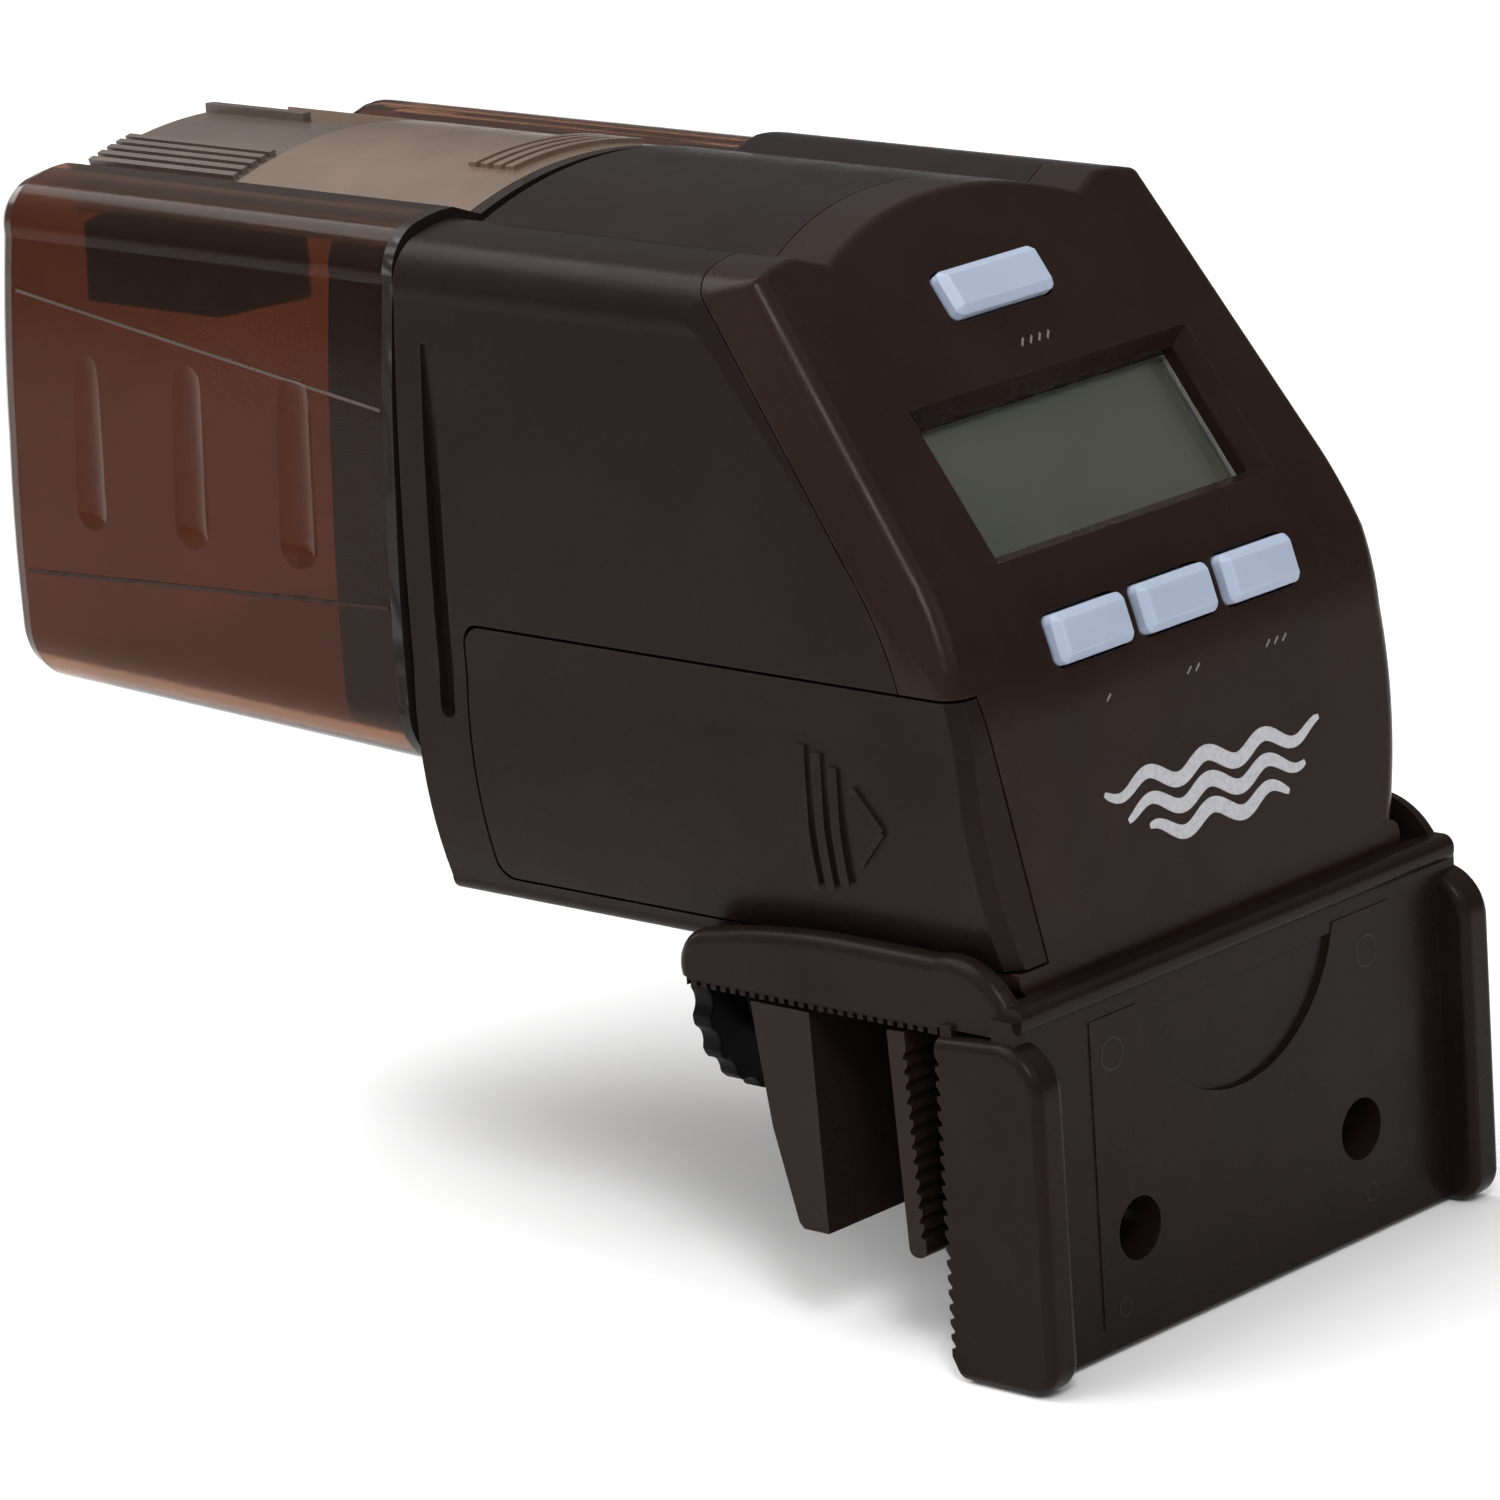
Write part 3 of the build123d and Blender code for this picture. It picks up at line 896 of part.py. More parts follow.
def clamp():
    """Carrier wall, moving jaw, screw and knob under the tray."""
    top = TRAY_FLOOR - 1.35
    # carrier wall, thick at the top and thin at the foot
    pts = [(15.6, top), (23.2, top), (22.4, -6.0), (21.3, -13.0), (18.6, -22.4), (18.0, -23.0), (14.8, -23.0)]
    wall = prism_x(pts, -CARRIER_X, CARRIER_X)
    wall -= prism_x([(17.4, top - 2.2), (50, top - 2.2), (50, -40), (16.5, -40)], -CARRIER_X + 2.2, CARRIER_X - 2.2)
    wall -= rail_room(0, 40)
    wall += slide_head(15.6, 23.2)
    wall += rod_y(0, SCREW_Z, 15.0, 25.0, 7.2)
    wall -= rod_y(0, SCREW_Z, 0, 60, SCREW_R + 0.1)
    for x in (-22, -11, 11, 22):
        wall += prism_x([(17.0, top - 4.2), (22.6, top - 4.2), (17.0, -21.0)], x - 0.8, x + 0.8)
    node("clamp_carrier", wall)

    # jaw leaning three degrees, its toothed face towards the plate
    jaw = box(-JAW_X, JAW_X, -1.1, 1.1, -23.4, top - 0.2)
    jaw = fillet(jaw.edges().filter_by(Axis.X).sort_by(Axis.Z)[:2], 0.9)
    jaw -= saw_rack(-50, 50, -22.5, -2.0, -1.1, -1)
    jaw = Pos(0, 4.6, 0) * Rot(-3.2, 0, 0) * jaw
    jaw -= rail_room(-10, 40)
    jaw += slide_head(3.6, 9.4)
    jaw += rod_y(0, SCREW_Z, 4.6, 9.6, 7.0)
    for x in (-22, -11, 11, 22):
        jaw += prism_x([(4.4, -4.2), (8.0, -4.2), (4.4, -19.5)], x - 0.8, x + 0.8)
    # socket that holds the screw's grooved nose
    jaw -= rod_y(0, SCREW_Z, 5.8, 8.2, 3.1) + rod_y(0, SCREW_Z, 8, 12, 2.1)
    node("clamp_jaw", jaw)

    screw = rod_y(0, SCREW_Z, 10.0, KNOB_Y + 1.0, SCREW_R - 0.9)
    start = 11.4
    count = int((KNOB_Y - 3.6 - start) / SCREW_PITCH)
    for k in range(count):
        y = start + k * SCREW_PITCH
        ridge = Cone(SCREW_R - 0.95, SCREW_R, 0.55) + Pos(0, 0, 0.5) * Cylinder(SCREW_R, 0.45)
        ridge += Pos(0, 0, 1.0) * Cone(SCREW_R, SCREW_R - 0.95, 0.55)
        screw += Pos(0, y, SCREW_Z) * Rot(-90, 0, 0) * ridge
    screw += rod_y(0, SCREW_Z, 6.1, 10.1, 2.0) + rod_y(0, SCREW_Z, 6.1, 7.9, 2.8)
    node("clamp_screw", screw)

    knob = rod_y(0, SCREW_Z, KNOB_Y, KNOB_Y + KNOB_T, KNOB_R)
    lobes = 18
    for k in range(lobes):
        a = 2 * pi * k / lobes
        x, z = (KNOB_R + 1.35) * cos(a), SCREW_Z + (KNOB_R + 1.35) * sin(a)
        knob -= rod_y(x, z, KNOB_Y - 1, KNOB_Y + KNOB_T + 1, 2.0)
    knob += rod_y(0, SCREW_Z, KNOB_Y - 3.2, KNOB_Y, 6.0)
    knob += rod_y(0, SCREW_Z, KNOB_Y + KNOB_T, KNOB_Y + KNOB_T + 1.8, 7.2)
    knob = knob - rod_y(0, SCREW_Z, KNOB_Y - 4, KNOB_Y + 1.0, SCREW_R - 0.9)
    knob -= rod_y(0, SCREW_Z, KNOB_Y - 4, KNOB_Y - 0.2, SCREW_R + 0.05)
    node("clamp_knob", knob)


def main():
    solid = housing_solid()
    shell = solid - housing_cavity()
    node("main_housing", main_housing(shell))
    node("front_bezel", front_bezel(shell, solid))
    node("battery_door", battery_door(sharp_solid() - housing_cavity()))
    drive_train()
    output_shaft()
    gearbox()
    battery_bay()
    electronics()
    bezel_screws()
    drum()
    lid_and_shutter()
    bracket()
    clamp()
    for name, shape in NODES.items():
        export_step(shape, f"parts/{name}.step")
        print(name, "solids", len(shape.solids()), "volume", round(shape.volume, 1))


main()
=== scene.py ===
import math

import bpy
from mathutils import Matrix, Vector
from mathutils.bvhtree import BVHTree


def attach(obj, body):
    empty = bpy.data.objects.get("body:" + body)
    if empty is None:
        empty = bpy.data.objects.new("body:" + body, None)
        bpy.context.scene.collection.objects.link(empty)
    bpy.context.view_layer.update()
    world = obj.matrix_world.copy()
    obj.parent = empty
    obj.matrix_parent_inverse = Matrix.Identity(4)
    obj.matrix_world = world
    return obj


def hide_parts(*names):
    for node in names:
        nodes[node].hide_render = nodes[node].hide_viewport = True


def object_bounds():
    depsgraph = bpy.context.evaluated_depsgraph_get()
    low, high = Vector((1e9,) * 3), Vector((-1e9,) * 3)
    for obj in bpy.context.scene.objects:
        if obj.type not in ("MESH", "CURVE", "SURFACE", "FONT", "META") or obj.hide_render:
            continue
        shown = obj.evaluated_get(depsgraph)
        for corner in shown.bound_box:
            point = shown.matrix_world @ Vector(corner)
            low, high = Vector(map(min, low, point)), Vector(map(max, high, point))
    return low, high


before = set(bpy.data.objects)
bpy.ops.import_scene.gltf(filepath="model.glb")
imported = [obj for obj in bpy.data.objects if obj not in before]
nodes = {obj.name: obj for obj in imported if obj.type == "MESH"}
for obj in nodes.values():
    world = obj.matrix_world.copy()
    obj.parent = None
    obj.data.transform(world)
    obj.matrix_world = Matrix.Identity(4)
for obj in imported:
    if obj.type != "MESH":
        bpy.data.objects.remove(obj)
cad_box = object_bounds()
MM = 0.001

# ---------------------------------------------------------------- camera, floor and light

CAMERA_PLACE = Vector((-0.565234, -0.469320, 0.221949))
CAMERA_AZIMUTH = 47.31467
CAMERA_DROP = 15.21539
CAMERA_ROLL = -3.80717
CAMERA_LENS = 186.5224
SENSOR = 36.0
CLIP = (0.01, 20.0)

FLOOR_REACH = 6.0
FLOOR_GAP = 0.0002
FLOOR_WHITE = 0.88
SKY_TOWARDS = (-0.42, 0.10, 0.90)      # where the sky is brightest
SKY_STRENGTH = {"From Min": -0.15, "From Max": 0.80, "To Min": 0.12, "To Max": 0.80}
LIGHT_AIM = (0, 0.05, 0.03)
LIGHTS = {                             # place, size, power
    "top_softbox": ((-0.25, 0.55, 1.1), (1.3, 0.9), 13.5),
    "left_softbox": ((-1.2, 0.45, 0.75), (0.7, 0.7), 1.6),
    "front_softbox": ((0.3, -1.1, 0.9), (0.8, 0.6), 2.2),
    "edge_softbox": ((-0.62, -0.66, 0.92), (0.26, 0.46), 7.0),
    "back_softbox": ((0.15, 1.45, 0.62), (0.9, 0.5), 5.0),
}


def look(azimuth, drop, roll):
    """Turn of a camera looking along azimuth, from +Y towards +X, and drop degrees below level."""
    a, e, r = (math.radians(v) for v in (azimuth, drop, roll))
    forward = Vector((math.sin(a) * math.cos(e), math.cos(a) * math.cos(e), -math.sin(e)))
    right = forward.cross(Vector((0, 0, 1))).normalized()
    up = right.cross(forward)
    side = math.cos(r) * right + math.sin(r) * up
    top = -math.sin(r) * right + math.cos(r) * up
    return Matrix((side, top, -forward)).transposed().to_4x4()


def make_camera():
    data = bpy.data.cameras.new("studio_camera")
    data.sensor_fit = "HORIZONTAL"
    data.sensor_width = SENSOR
    data.lens = CAMERA_LENS
    data.clip_start, data.clip_end = CLIP
    camera = bpy.data.objects.new("studio_camera", data)
    bpy.context.scene.collection.objects.link(camera)
    turn = look(CAMERA_AZIMUTH, CAMERA_DROP, CAMERA_ROLL)
    camera.matrix_world = Matrix.Translation(CAMERA_PLACE) @ turn
    bpy.context.scene.camera = camera


def new_mesh(name, verts, faces, smooth=False):
    mesh = bpy.data.meshes.new(name)
    mesh.from_pydata([tuple(v) for v in verts], [], faces)
    mesh.validate()
    mesh.update()
    for p in mesh.polygons:
        p.use_smooth = smooth
    obj = bpy.data.objects.new(name, mesh)
    bpy.context.scene.collection.objects.link(obj)
    return obj


def softbox(name, place, size, power):
    """A soft rectangular lamp aimed at the middle of the object."""
    data = bpy.data.lights.new(name, "AREA")
    data.shape = "RECTANGLE"
    data.size, data.size_y = size
    data.energy = power
    light = bpy.data.objects.new(name, data)
    bpy.context.scene.collection.objects.link(light)
    aim = Vector(LIGHT_AIM) - Vector(place)
    turn = aim.to_track_quat("-Z", "Y").to_matrix().to_4x4()
    light.matrix_world = Matrix.Translation(place) @ turn


def make_floor():
    z = min(cad_box[0][2], cad_box[1][2]) - FLOOR_GAP
    r = FLOOR_REACH
    floor = new_mesh("floor", [(-r, -r, z), (r, -r, z), (r, r, z), (-r, r, z)], [(0, 1, 2, 3)])
    g = Graph("floor_white")
    g.set(**{"Base Color": (FLOOR_WHITE, FLOOR_WHITE, FLOOR_WHITE, 1), "Roughness": 0.9,
             "Specular IOR Level": 0.0})
    floor.data.materials.append(g.mat)


def make_sky():
    """A white sky, brighter overhead and to the left than near the right horizon."""
    world = bpy.data.worlds.new("studio")
    bpy.context.scene.world = world
    world.use_nodes = True
    tree = world.node_tree
    background = tree.nodes["Background"]
    background.inputs["Color"].default_value = (1, 1, 1, 1)
    towards = tree.nodes.new("ShaderNodeVectorMath")
    towards.operation = "DOT_PRODUCT"
    towards.inputs[1].default_value = SKY_TOWARDS
    rise = tree.nodes.new("ShaderNodeMapRange")
    for key, value in SKY_STRENGTH.items():
        rise.inputs[key].default_value = value
    tree.links.new(tree.nodes.new("ShaderNodeTexCoord").outputs["Generated"], towards.inputs[0])
    tree.links.new(towards.outputs["Value"], rise.inputs["Value"])
    tree.links.new(rise.outputs["Result"], background.inputs["Strength"])


def make_stage():
    make_floor()
    make_sky()
    for name, (place, size, power) in LIGHTS.items():
        softbox(name, place, size, power)
    view = bpy.context.scene.view_settings
    view.view_transform = "Standard"
    view.look = "None"


# ---------------------------------------------------------------- materials


class Graph:
    """A material being put together: one Principled shader and what feeds it."""

    def __init__(self, name):
        self.mat = bpy.data.materials.new(name)
        self.mat.use_nodes = True
        self.tree = self.mat.node_tree
        self.tree.nodes.clear()
        self.shader = self.add("ShaderNodeBsdfPrincipled")
        out = self.add("ShaderNodeOutputMaterial")
        self.link(self.shader.outputs["BSDF"], out.inputs["Surface"])
        self.place = self.add("ShaderNodeTexCoord").outputs["Object"]

    def add(self, kind, **values):
        node = self.tree.nodes.new(kind)
        for key, value in values.items():
            setattr(node, key, value)
        return node

    def link(self, a, b):
        self.tree.links.new(a, b)

    def set(self, **inputs):
        for key, value in inputs.items():
            self.shader.inputs[key].default_value = value

    def noise(self, size_mm, detail=3.0, rough=0.55, stretch=(1, 1, 1)):
        """Noise whose blobs are about size_mm across, from 0 to 1."""
        mapping = self.add("ShaderNodeMapping")
        mapping.inputs["Scale"].default_value = stretch
        self.link(self.place, mapping.inputs["Vector"])
        noise = self.add("ShaderNodeTexNoise")
        noise.inputs["Scale"].default_value = 1000.0 / size_mm
        noise.inputs["Detail"].default_value = detail
        noise.inputs["Roughness"].default_value = rough
        self.link(mapping.outputs["Vector"], noise.inputs["Vector"])
        return noise.outputs["Fac"]

    def remap(self, value, low, high, to_low, to_high):
        """The value's share between low and high, as a share between to_low and to_high."""
        node = self.add("ShaderNodeMapRange")
        node.clamp = True
        values = {"From Min": low, "From Max": high, "To Min": to_low, "To Max": to_high}
        for key, v in values.items():
            node.inputs[key].default_value = v
        self.link(value, node.inputs["Value"])
        return node.outputs["Result"]

    def blend(self, factor, a, b, kind="MIX"):
        """Mixes two colours, each a socket or a tuple, by a socket or a number."""
        node = self.add("ShaderNodeMix", data_type="RGBA", blend_type=kind)
        for index, value in ((0, factor), (6, a), (7, b)):
            if hasattr(value, "is_output"):
                self.link(value, node.inputs[index])
            else:
                node.inputs[index].default_value = value if index == 0 else (*value[:3], 1)
        return node.outputs[2]

    def edges(self, reach_mm, low=0.004, high=0.07):
        """1 on outer edges, 0 on flat faces: the mask for worn edges and for painted edge shade."""
        bevel = self.add("ShaderNodeBevel", samples=4)
        bevel.inputs["Radius"].default_value = reach_mm * MM
        geometry = self.add("ShaderNodeNewGeometry")
        dot = self.add("ShaderNodeVectorMath", operation="DOT_PRODUCT")
        self.link(bevel.outputs["Normal"], dot.inputs[0])
        self.link(geometry.outputs["Normal"], dot.inputs[1])
        return self.remap(dot.outputs["Value"], 1 - low, 1 - high, 0, 1)

    def bump(self, height, depth_mm, strength=1.0, under=None):
        """A normal pushed about by a height, on top of another normal where under is given."""
        bump = self.add("ShaderNodeBump")
        bump.inputs["Strength"].default_value = strength
        bump.inputs["Distance"].default_value = depth_mm * MM
        self.link(height, bump.inputs["Height"])
        if under is not None:
            self.link(under, bump.inputs["Normal"])
        return bump.outputs["Normal"]


def moulded(name, colour, roughness=0.42, specular=0.3, grain_mm=0.35, grain_depth=0.012,
            variation=0.12, wear=0.35, worn=None, fleck=0.0, fleck_colour=(0.12, 0.1, 0.09), **extra):
    """Injection-moulded plastic: uneven shade, fine spark-eroded grain, rubbed edges."""
    g = Graph(name)
    dark = tuple(c * (1 - variation) for c in colour)
    light = tuple(min(1, c * (1 + variation)) for c in colour)
    shade = g.blend(g.remap(g.noise(14, 4), 0.35, 0.65, 0, 1), dark, light)
    grain = g.noise(grain_mm, 2.0, 0.6)
    if fleck:
        shade = g.blend(g.remap(grain, 0.62, 0.72, 0, fleck), shade, fleck_colour)
    if wear:
        rubbed = worn or tuple(min(1, c * 2.2 + 0.012) for c in colour)
        scuff = g.remap(g.noise(2.2, 4, 0.7), 0.42, 0.62, 0.15, 1.0)
        mask = g.add("ShaderNodeMath", operation="MULTIPLY")
        g.link(g.edges(0.35), mask.inputs[0])
        g.link(scuff, mask.inputs[1])
        shade = g.blend(g.remap(mask.outputs[0], 0, 1, 0, wear), shade, rubbed)
    g.link(shade, g.shader.inputs["Base Color"])
    gloss = g.remap(g.noise(6, 5, 0.65), 0.3, 0.7, roughness - 0.05, roughness + 0.06)
    g.link(gloss, g.shader.inputs["Roughness"])
    soft = g.bump(g.noise(9, 2), 0.03, 0.35)
    g.link(g.bump(grain, grain_depth, 0.6, soft), g.shader.inputs["Normal"])
    g.set(**{"Specular IOR Level": specular}, **{k.replace("_", " "): v for k, v in extra.items()})
    return g.mat


def metal(name, colour, roughness=0.3, brushed=(1, 1, 1), size_mm=0.6):
    """Plain or brushed metal; brushed stretches the streaks along an axis."""
    g = Graph(name)
    streak = g.noise(size_mm, 4, 0.6, brushed)
    dark = tuple(c * 0.72 for c in colour)
    g.link(g.blend(g.remap(streak, 0.3, 0.7, 0, 1), dark, colour), g.shader.inputs["Base Color"])
    gloss = g.remap(g.noise(3, 4), 0.3, 0.7, roughness - 0.08, roughness + 0.12)
    g.link(gloss, g.shader.inputs["Roughness"])
    g.link(g.bump(streak, 0.004, 0.5), g.shader.inputs["Normal"])
    g.set(Metallic=1.0)
    return g.mat


def smoke():
    """Clear smoked plastic: light comes through it, and painted shade darkens its colour along its edges.
    """
    g = Graph("look_smoke_plastic")
    uneven = g.remap(g.noise(26, 3), 0.3, 0.7, 0, 1)
    shade = g.blend(uneven, (0.200, 0.086, 0.043), (0.236, 0.104, 0.054))
    # painted shade: the colour turns dark brown along edges within about 1.1 mm
    painted_edge_shade = g.remap(g.edges(1.1), 0, 1, 0, 0.75)
    g.link(g.blend(painted_edge_shade, shade, (0.070, 0.048, 0.040)), g.shader.inputs["Base Color"])
    g.link(g.remap(g.noise(8, 5), 0.3, 0.7, 0.08, 0.13), g.shader.inputs["Roughness"])
    soft = g.bump(g.noise(18, 2), 0.05, 0.4)
    g.link(g.bump(g.noise(0.5, 3), 0.004, 0.4, soft), g.shader.inputs["Normal"])
    g.set(**{"Transmission Weight": 0.975, "IOR": 1.2, "Specular IOR Level": 0.3})
    return g.mat


def clear_lens():
    """Clear pane over the display."""
    g = Graph("look_clear_plastic")
    uneven = g.remap(g.noise(9, 3), 0.3, 0.7, 0, 1)
    g.link(g.blend(uneven, (0.86, 0.9, 0.86), (0.95, 0.97, 0.95)), g.shader.inputs["Base Color"])
    g.link(g.remap(g.noise(4, 5), 0.3, 0.7, 0.05, 0.08), g.shader.inputs["Roughness"])
    g.link(g.bump(g.noise(14, 2), 0.004, 0.2), g.shader.inputs["Normal"])
    g.set(**{"Transmission Weight": 1.0, "IOR": 1.46, "Specular IOR Level": 0.35})
    return g.mat


def display():
    """Reflective liquid-crystal glass, switched off."""
    g = Graph("look_display")
    shade = g.blend(g.remap(g.noise(16, 2), 0.3, 0.7, 0, 1), (0.072, 0.071, 0.051), (0.084, 0.083, 0.061))
    g.link(shade, g.shader.inputs["Base Color"])
    g.link(g.remap(g.noise(3, 3), 0.3, 0.7, 0.45, 0.55), g.shader.inputs["Roughness"])
    g.link(g.bump(g.noise(0.25, 1), 0.0008, 0.3), g.shader.inputs["Normal"])
    g.set(**{"Specular IOR Level": 0.3})
    return g.mat


def board():
    """Green solder mask over copper tracks."""
    g = Graph("look_circuit_board")
    brick = g.add("ShaderNodeTexBrick")
    tracks = {"Scale": 260, "Mortar Size": 0.035, "Color1": (0.012, 0.07, 0.03, 1),
              "Color2": (0.016, 0.085, 0.036, 1), "Mortar": (0.05, 0.17, 0.07, 1)}
    for key, value in tracks.items():
        brick.inputs[key].default_value = value
    turn = g.add("ShaderNodeMapping")
    turn.inputs["Rotation"].default_value = [math.radians(a) for a in (60, 20, 45)]
    g.link(g.place, turn.inputs["Vector"])
    g.link(turn.outputs["Vector"], brick.inputs["Vector"])
    g.link(g.blend(g.remap(g.noise(5), 0.3, 0.7, 0, 0.4), brick.outputs["Color"], (0.02, 0.1, 0.05)),
           g.shader.inputs["Base Color"])
    g.link(g.remap(g.noise(2), 0.3, 0.7, 0.3, 0.45), g.shader.inputs["Roughness"])
    g.link(g.bump(brick.outputs["Fac"], 0.02, 0.4), g.shader.inputs["Normal"])
    return g.mat


CELL_FRONT, CELL_BACK, CELL_BAND = 0.0100, 0.0573, 0.0207     # along Y, in metres


def cell_sleeve():
    """Sleeve of a dry cell: dark body, a paler band at the positive end, steel where it is bare."""
    g = Graph("look_cell_sleeve")
    split = g.add("ShaderNodeSeparateXYZ")
    g.link(g.place, split.inputs[0])
    along = split.outputs["Y"]
    band = g.remap(along, CELL_BAND - 0.0002, CELL_BAND + 0.0002, 1, 0)
    shade = g.blend(g.remap(g.noise(5), 0.35, 0.65, 0, 1), (0.02, 0.022, 0.026), (0.035, 0.036, 0.042))
    shade = g.blend(band, shade, (0.30, 0.16, 0.05))
    bare_front = g.remap(along, CELL_FRONT - 0.0001, CELL_FRONT + 0.0001, 1, 0)
    bare_back = g.remap(along, CELL_BACK - 0.0001, CELL_BACK + 0.0001, 0, 1)
    bare = g.add("ShaderNodeMath", operation="MAXIMUM")
    g.link(bare_front, bare.inputs[0])
    g.link(bare_back, bare.inputs[1])
    g.link(g.blend(bare.outputs[0], shade, (0.55, 0.54, 0.52)), g.shader.inputs["Base Color"])
    g.link(bare.outputs[0], g.shader.inputs["Metallic"])
    g.link(g.remap(g.noise(2), 0.3, 0.7, 0.25, 0.4), g.shader.inputs["Roughness"])
    g.link(g.bump(g.noise(1.2), 0.01, 0.3), g.shader.inputs["Normal"])
    return g.mat


def ink(name, colour):
    """Pad-printed ink, a little uneven."""
    g = Graph(name)
    dark = tuple(c * 0.8 for c in colour)
    g.link(g.blend(g.remap(g.noise(0.5, 4), 0.35, 0.6, 0, 1), dark, colour), g.shader.inputs["Base Color"])
    g.link(g.remap(g.noise(1.0), 0.3, 0.7, 0.4, 0.55), g.shader.inputs["Roughness"])
    g.link(g.bump(g.noise(0.3), 0.01, 0.5), g.shader.inputs["Normal"])
    return g.mat


WARM = (1.0, 0.88, 0.82, 1)


def make_looks():
    """One material for each slot of the record, and one more for the drum's end cap."""
    return {
        # housing and bezel are one brown: the bezel's copy is painted lighter for its lit front, the
        # housing's darker for its shaded side
        "brown_plastic": moulded("look_brown_plastic", (0.0100, 0.0062, 0.0055), 0.27, 0.07,
                                 fleck=0.03, Specular_Tint=WARM),
        "bezel_plastic": moulded("look_bezel_plastic", (0.0150, 0.0080, 0.0062), 0.25, 0.08,
                                 fleck=0.04, Specular_Tint=WARM),
        "clamp_plastic": moulded("look_clamp_plastic", (0.0128, 0.0078, 0.0070), 0.29, 0.10,
                                 Specular_Tint=WARM),
        "black_plastic": moulded("look_black_plastic", (0.0025, 0.0025, 0.0028), 0.34, 0.06),
        "cap_plastic": moulded("look_cap_plastic", (0.0120, 0.0085, 0.0078), 0.30, 0.14),
        "smoke_plastic": smoke(),
        "lid_plastic": moulded("look_lid_plastic", (0.142, 0.098, 0.071), 0.24, 0.40,
                               grain_depth=0.005, Transmission_Weight=0.12),
        "shutter_plastic": moulded("look_shutter_plastic", (0.085, 0.064, 0.052), 0.30, 0.36,
                                   grain_depth=0.005),
        "button_blue": moulded("look_button_blue", (0.32, 0.37, 0.475), 0.42, 0.4, variation=0.04,
                               wear=0.3, worn=(0.52, 0.58, 0.68), grain_depth=0.004,
                               Subsurface_Weight=0.25, Subsurface_Radius=(0.6, 0.8, 1.0),
                               Subsurface_Scale=0.0012),
        "display": display(),
        "clear_plastic": clear_lens(),
        "circuit_board": board(),
        "cell_sleeve": cell_sleeve(),
        "spring_steel": metal("look_spring_steel", (0.62, 0.60, 0.57), 0.28),
        "screw_steel": metal("look_screw_steel", (0.50, 0.50, 0.50), 0.32),
        "motor_steel": metal("look_motor_steel", (0.56, 0.56, 0.56), 0.34, (1, 0.05, 1), 1.0),
        "white_nylon": moulded("look_white_nylon", (0.68, 0.67, 0.62), 0.45, 0.4, variation=0.04,
                               wear=0.3, worn=(0.8, 0.79, 0.74), Subsurface_Weight=0.2,
                               Subsurface_Scale=0.001),
        "brass": metal("look_brass", (0.72, 0.50, 0.22), 0.26),
    }


# ---------------------------------------------------------------- the CAD nodes


FINISH = {"drum_end_cap": "cap_plastic"}
EDGES_MM = {
    "main_housing": 0.3, "front_bezel": 0.3, "battery_door": 0.2, "bracket": 0.3,
    "clamp_carrier": 0.25, "clamp_jaw": 0.25, "clamp_knob": 0.3, "drum_end_cap": 0.2,
    "fill_lid": 0.2, "feed_shutter": 0.2, "button_feed": 0.45, "button_set": 0.45,
    "button_hour": 0.45, "button_minute": 0.45,
}
WELD_GAP = 2e-6
FLAT_WITHIN = math.radians(0.6)
SHARP_FROM = math.radians(32)


def dress(obj, material, edge_mm):
    """Gives a CAD node its material and, with edge_mm, small roundings on its sharp edges."""
    for slot in obj.material_slots:
        slot.material = material
    if not edge_mm:
        return
    weld = obj.modifiers.new("weld", "WELD")
    weld.merge_threshold = WELD_GAP
    flat = obj.modifiers.new("flat_faces", "DECIMATE")
    flat.decimate_type = "DISSOLVE"
    flat.angle_limit = FLAT_WITHIN
    bevel = obj.modifiers.new("rounded_edges", "BEVEL")
    bevel.width = edge_mm * MM
    bevel.segments = 2
    bevel.limit_method = "ANGLE"
    bevel.angle_limit = SHARP_FROM
    bevel.use_clamp_overlap = True
    bevel.harden_normals = False
    smooth = obj.modifiers.new("normals", "WEIGHTED_NORMAL")
    smooth.keep_sharp = False
    smooth.weight = 60


def tree_of(name):
    """A CAD node's surface, to lay pieces on."""
    mesh = nodes[name].data
    verts = [v.co.copy() for v in mesh.vertices]
    return BVHTree.FromPolygons(verts, [list(p.vertices) for p in mesh.polygons])


# ---------------------------------------------------------------- pieces that CAD leaves plain


SUNK = 0.05 * MM       # how far a strip's foot goes into the surface


def ribbon(name, rows, material, body):
    """Joined solid strips, each a row of (left, right, outward) and a height above the surface."""
    verts, faces = [], []
    for row, height in rows:
        base = len(verts)
        for left, right, out in row:
            verts += [left - out * SUNK, left + out * height, right + out * height, right - out * SUNK]
        n = len(row)
        for i in range(n - 1):
            a, b = base + 4 * i, base + 4 * i + 4
            for k in range(4):
                faces.append((a + k, a + (k + 1) % 4, b + (k + 1) % 4, b + k))
        faces.append((base + 3, base + 2, base + 1, base))
        e = base + 4 * (n - 1)
        faces.append((e, e + 1, e + 2, e + 3))
    obj = new_mesh(name, verts, faces)
    obj.data.materials.append(material)
    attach(obj, body)


def on_front(tree, x, z):
    """Point and outward normal of a surface at x, z, seen from the front."""
    hit = tree.ray_cast(Vector((x, -0.05, z)), Vector((0, 1, 0)))
    return hit[0], hit[1].normalized() * (-1 if hit[1].y > 0 else 1)


def front_strip(tree, centre_line, width):
    """A row along (x, z) points on a front surface; width is a function of the share along it."""
    row = []
    n = len(centre_line)
    for i, (x, z) in enumerate(centre_line):
        x0, z0 = centre_line[max(0, i - 1)]
        x1, z1 = centre_line[min(n - 1, i + 1)]
        length = math.hypot(x1 - x0, z1 - z0)
        px, pz = -(z1 - z0) / length, (x1 - x0) / length
        w = width(i / (n - 1)) / 2
        left, out = on_front(tree, x + px * w, z + pz * w)
        right, _ = on_front(tree, x - px * w, z - pz * w)
        row.append((left, right, out))
    return row


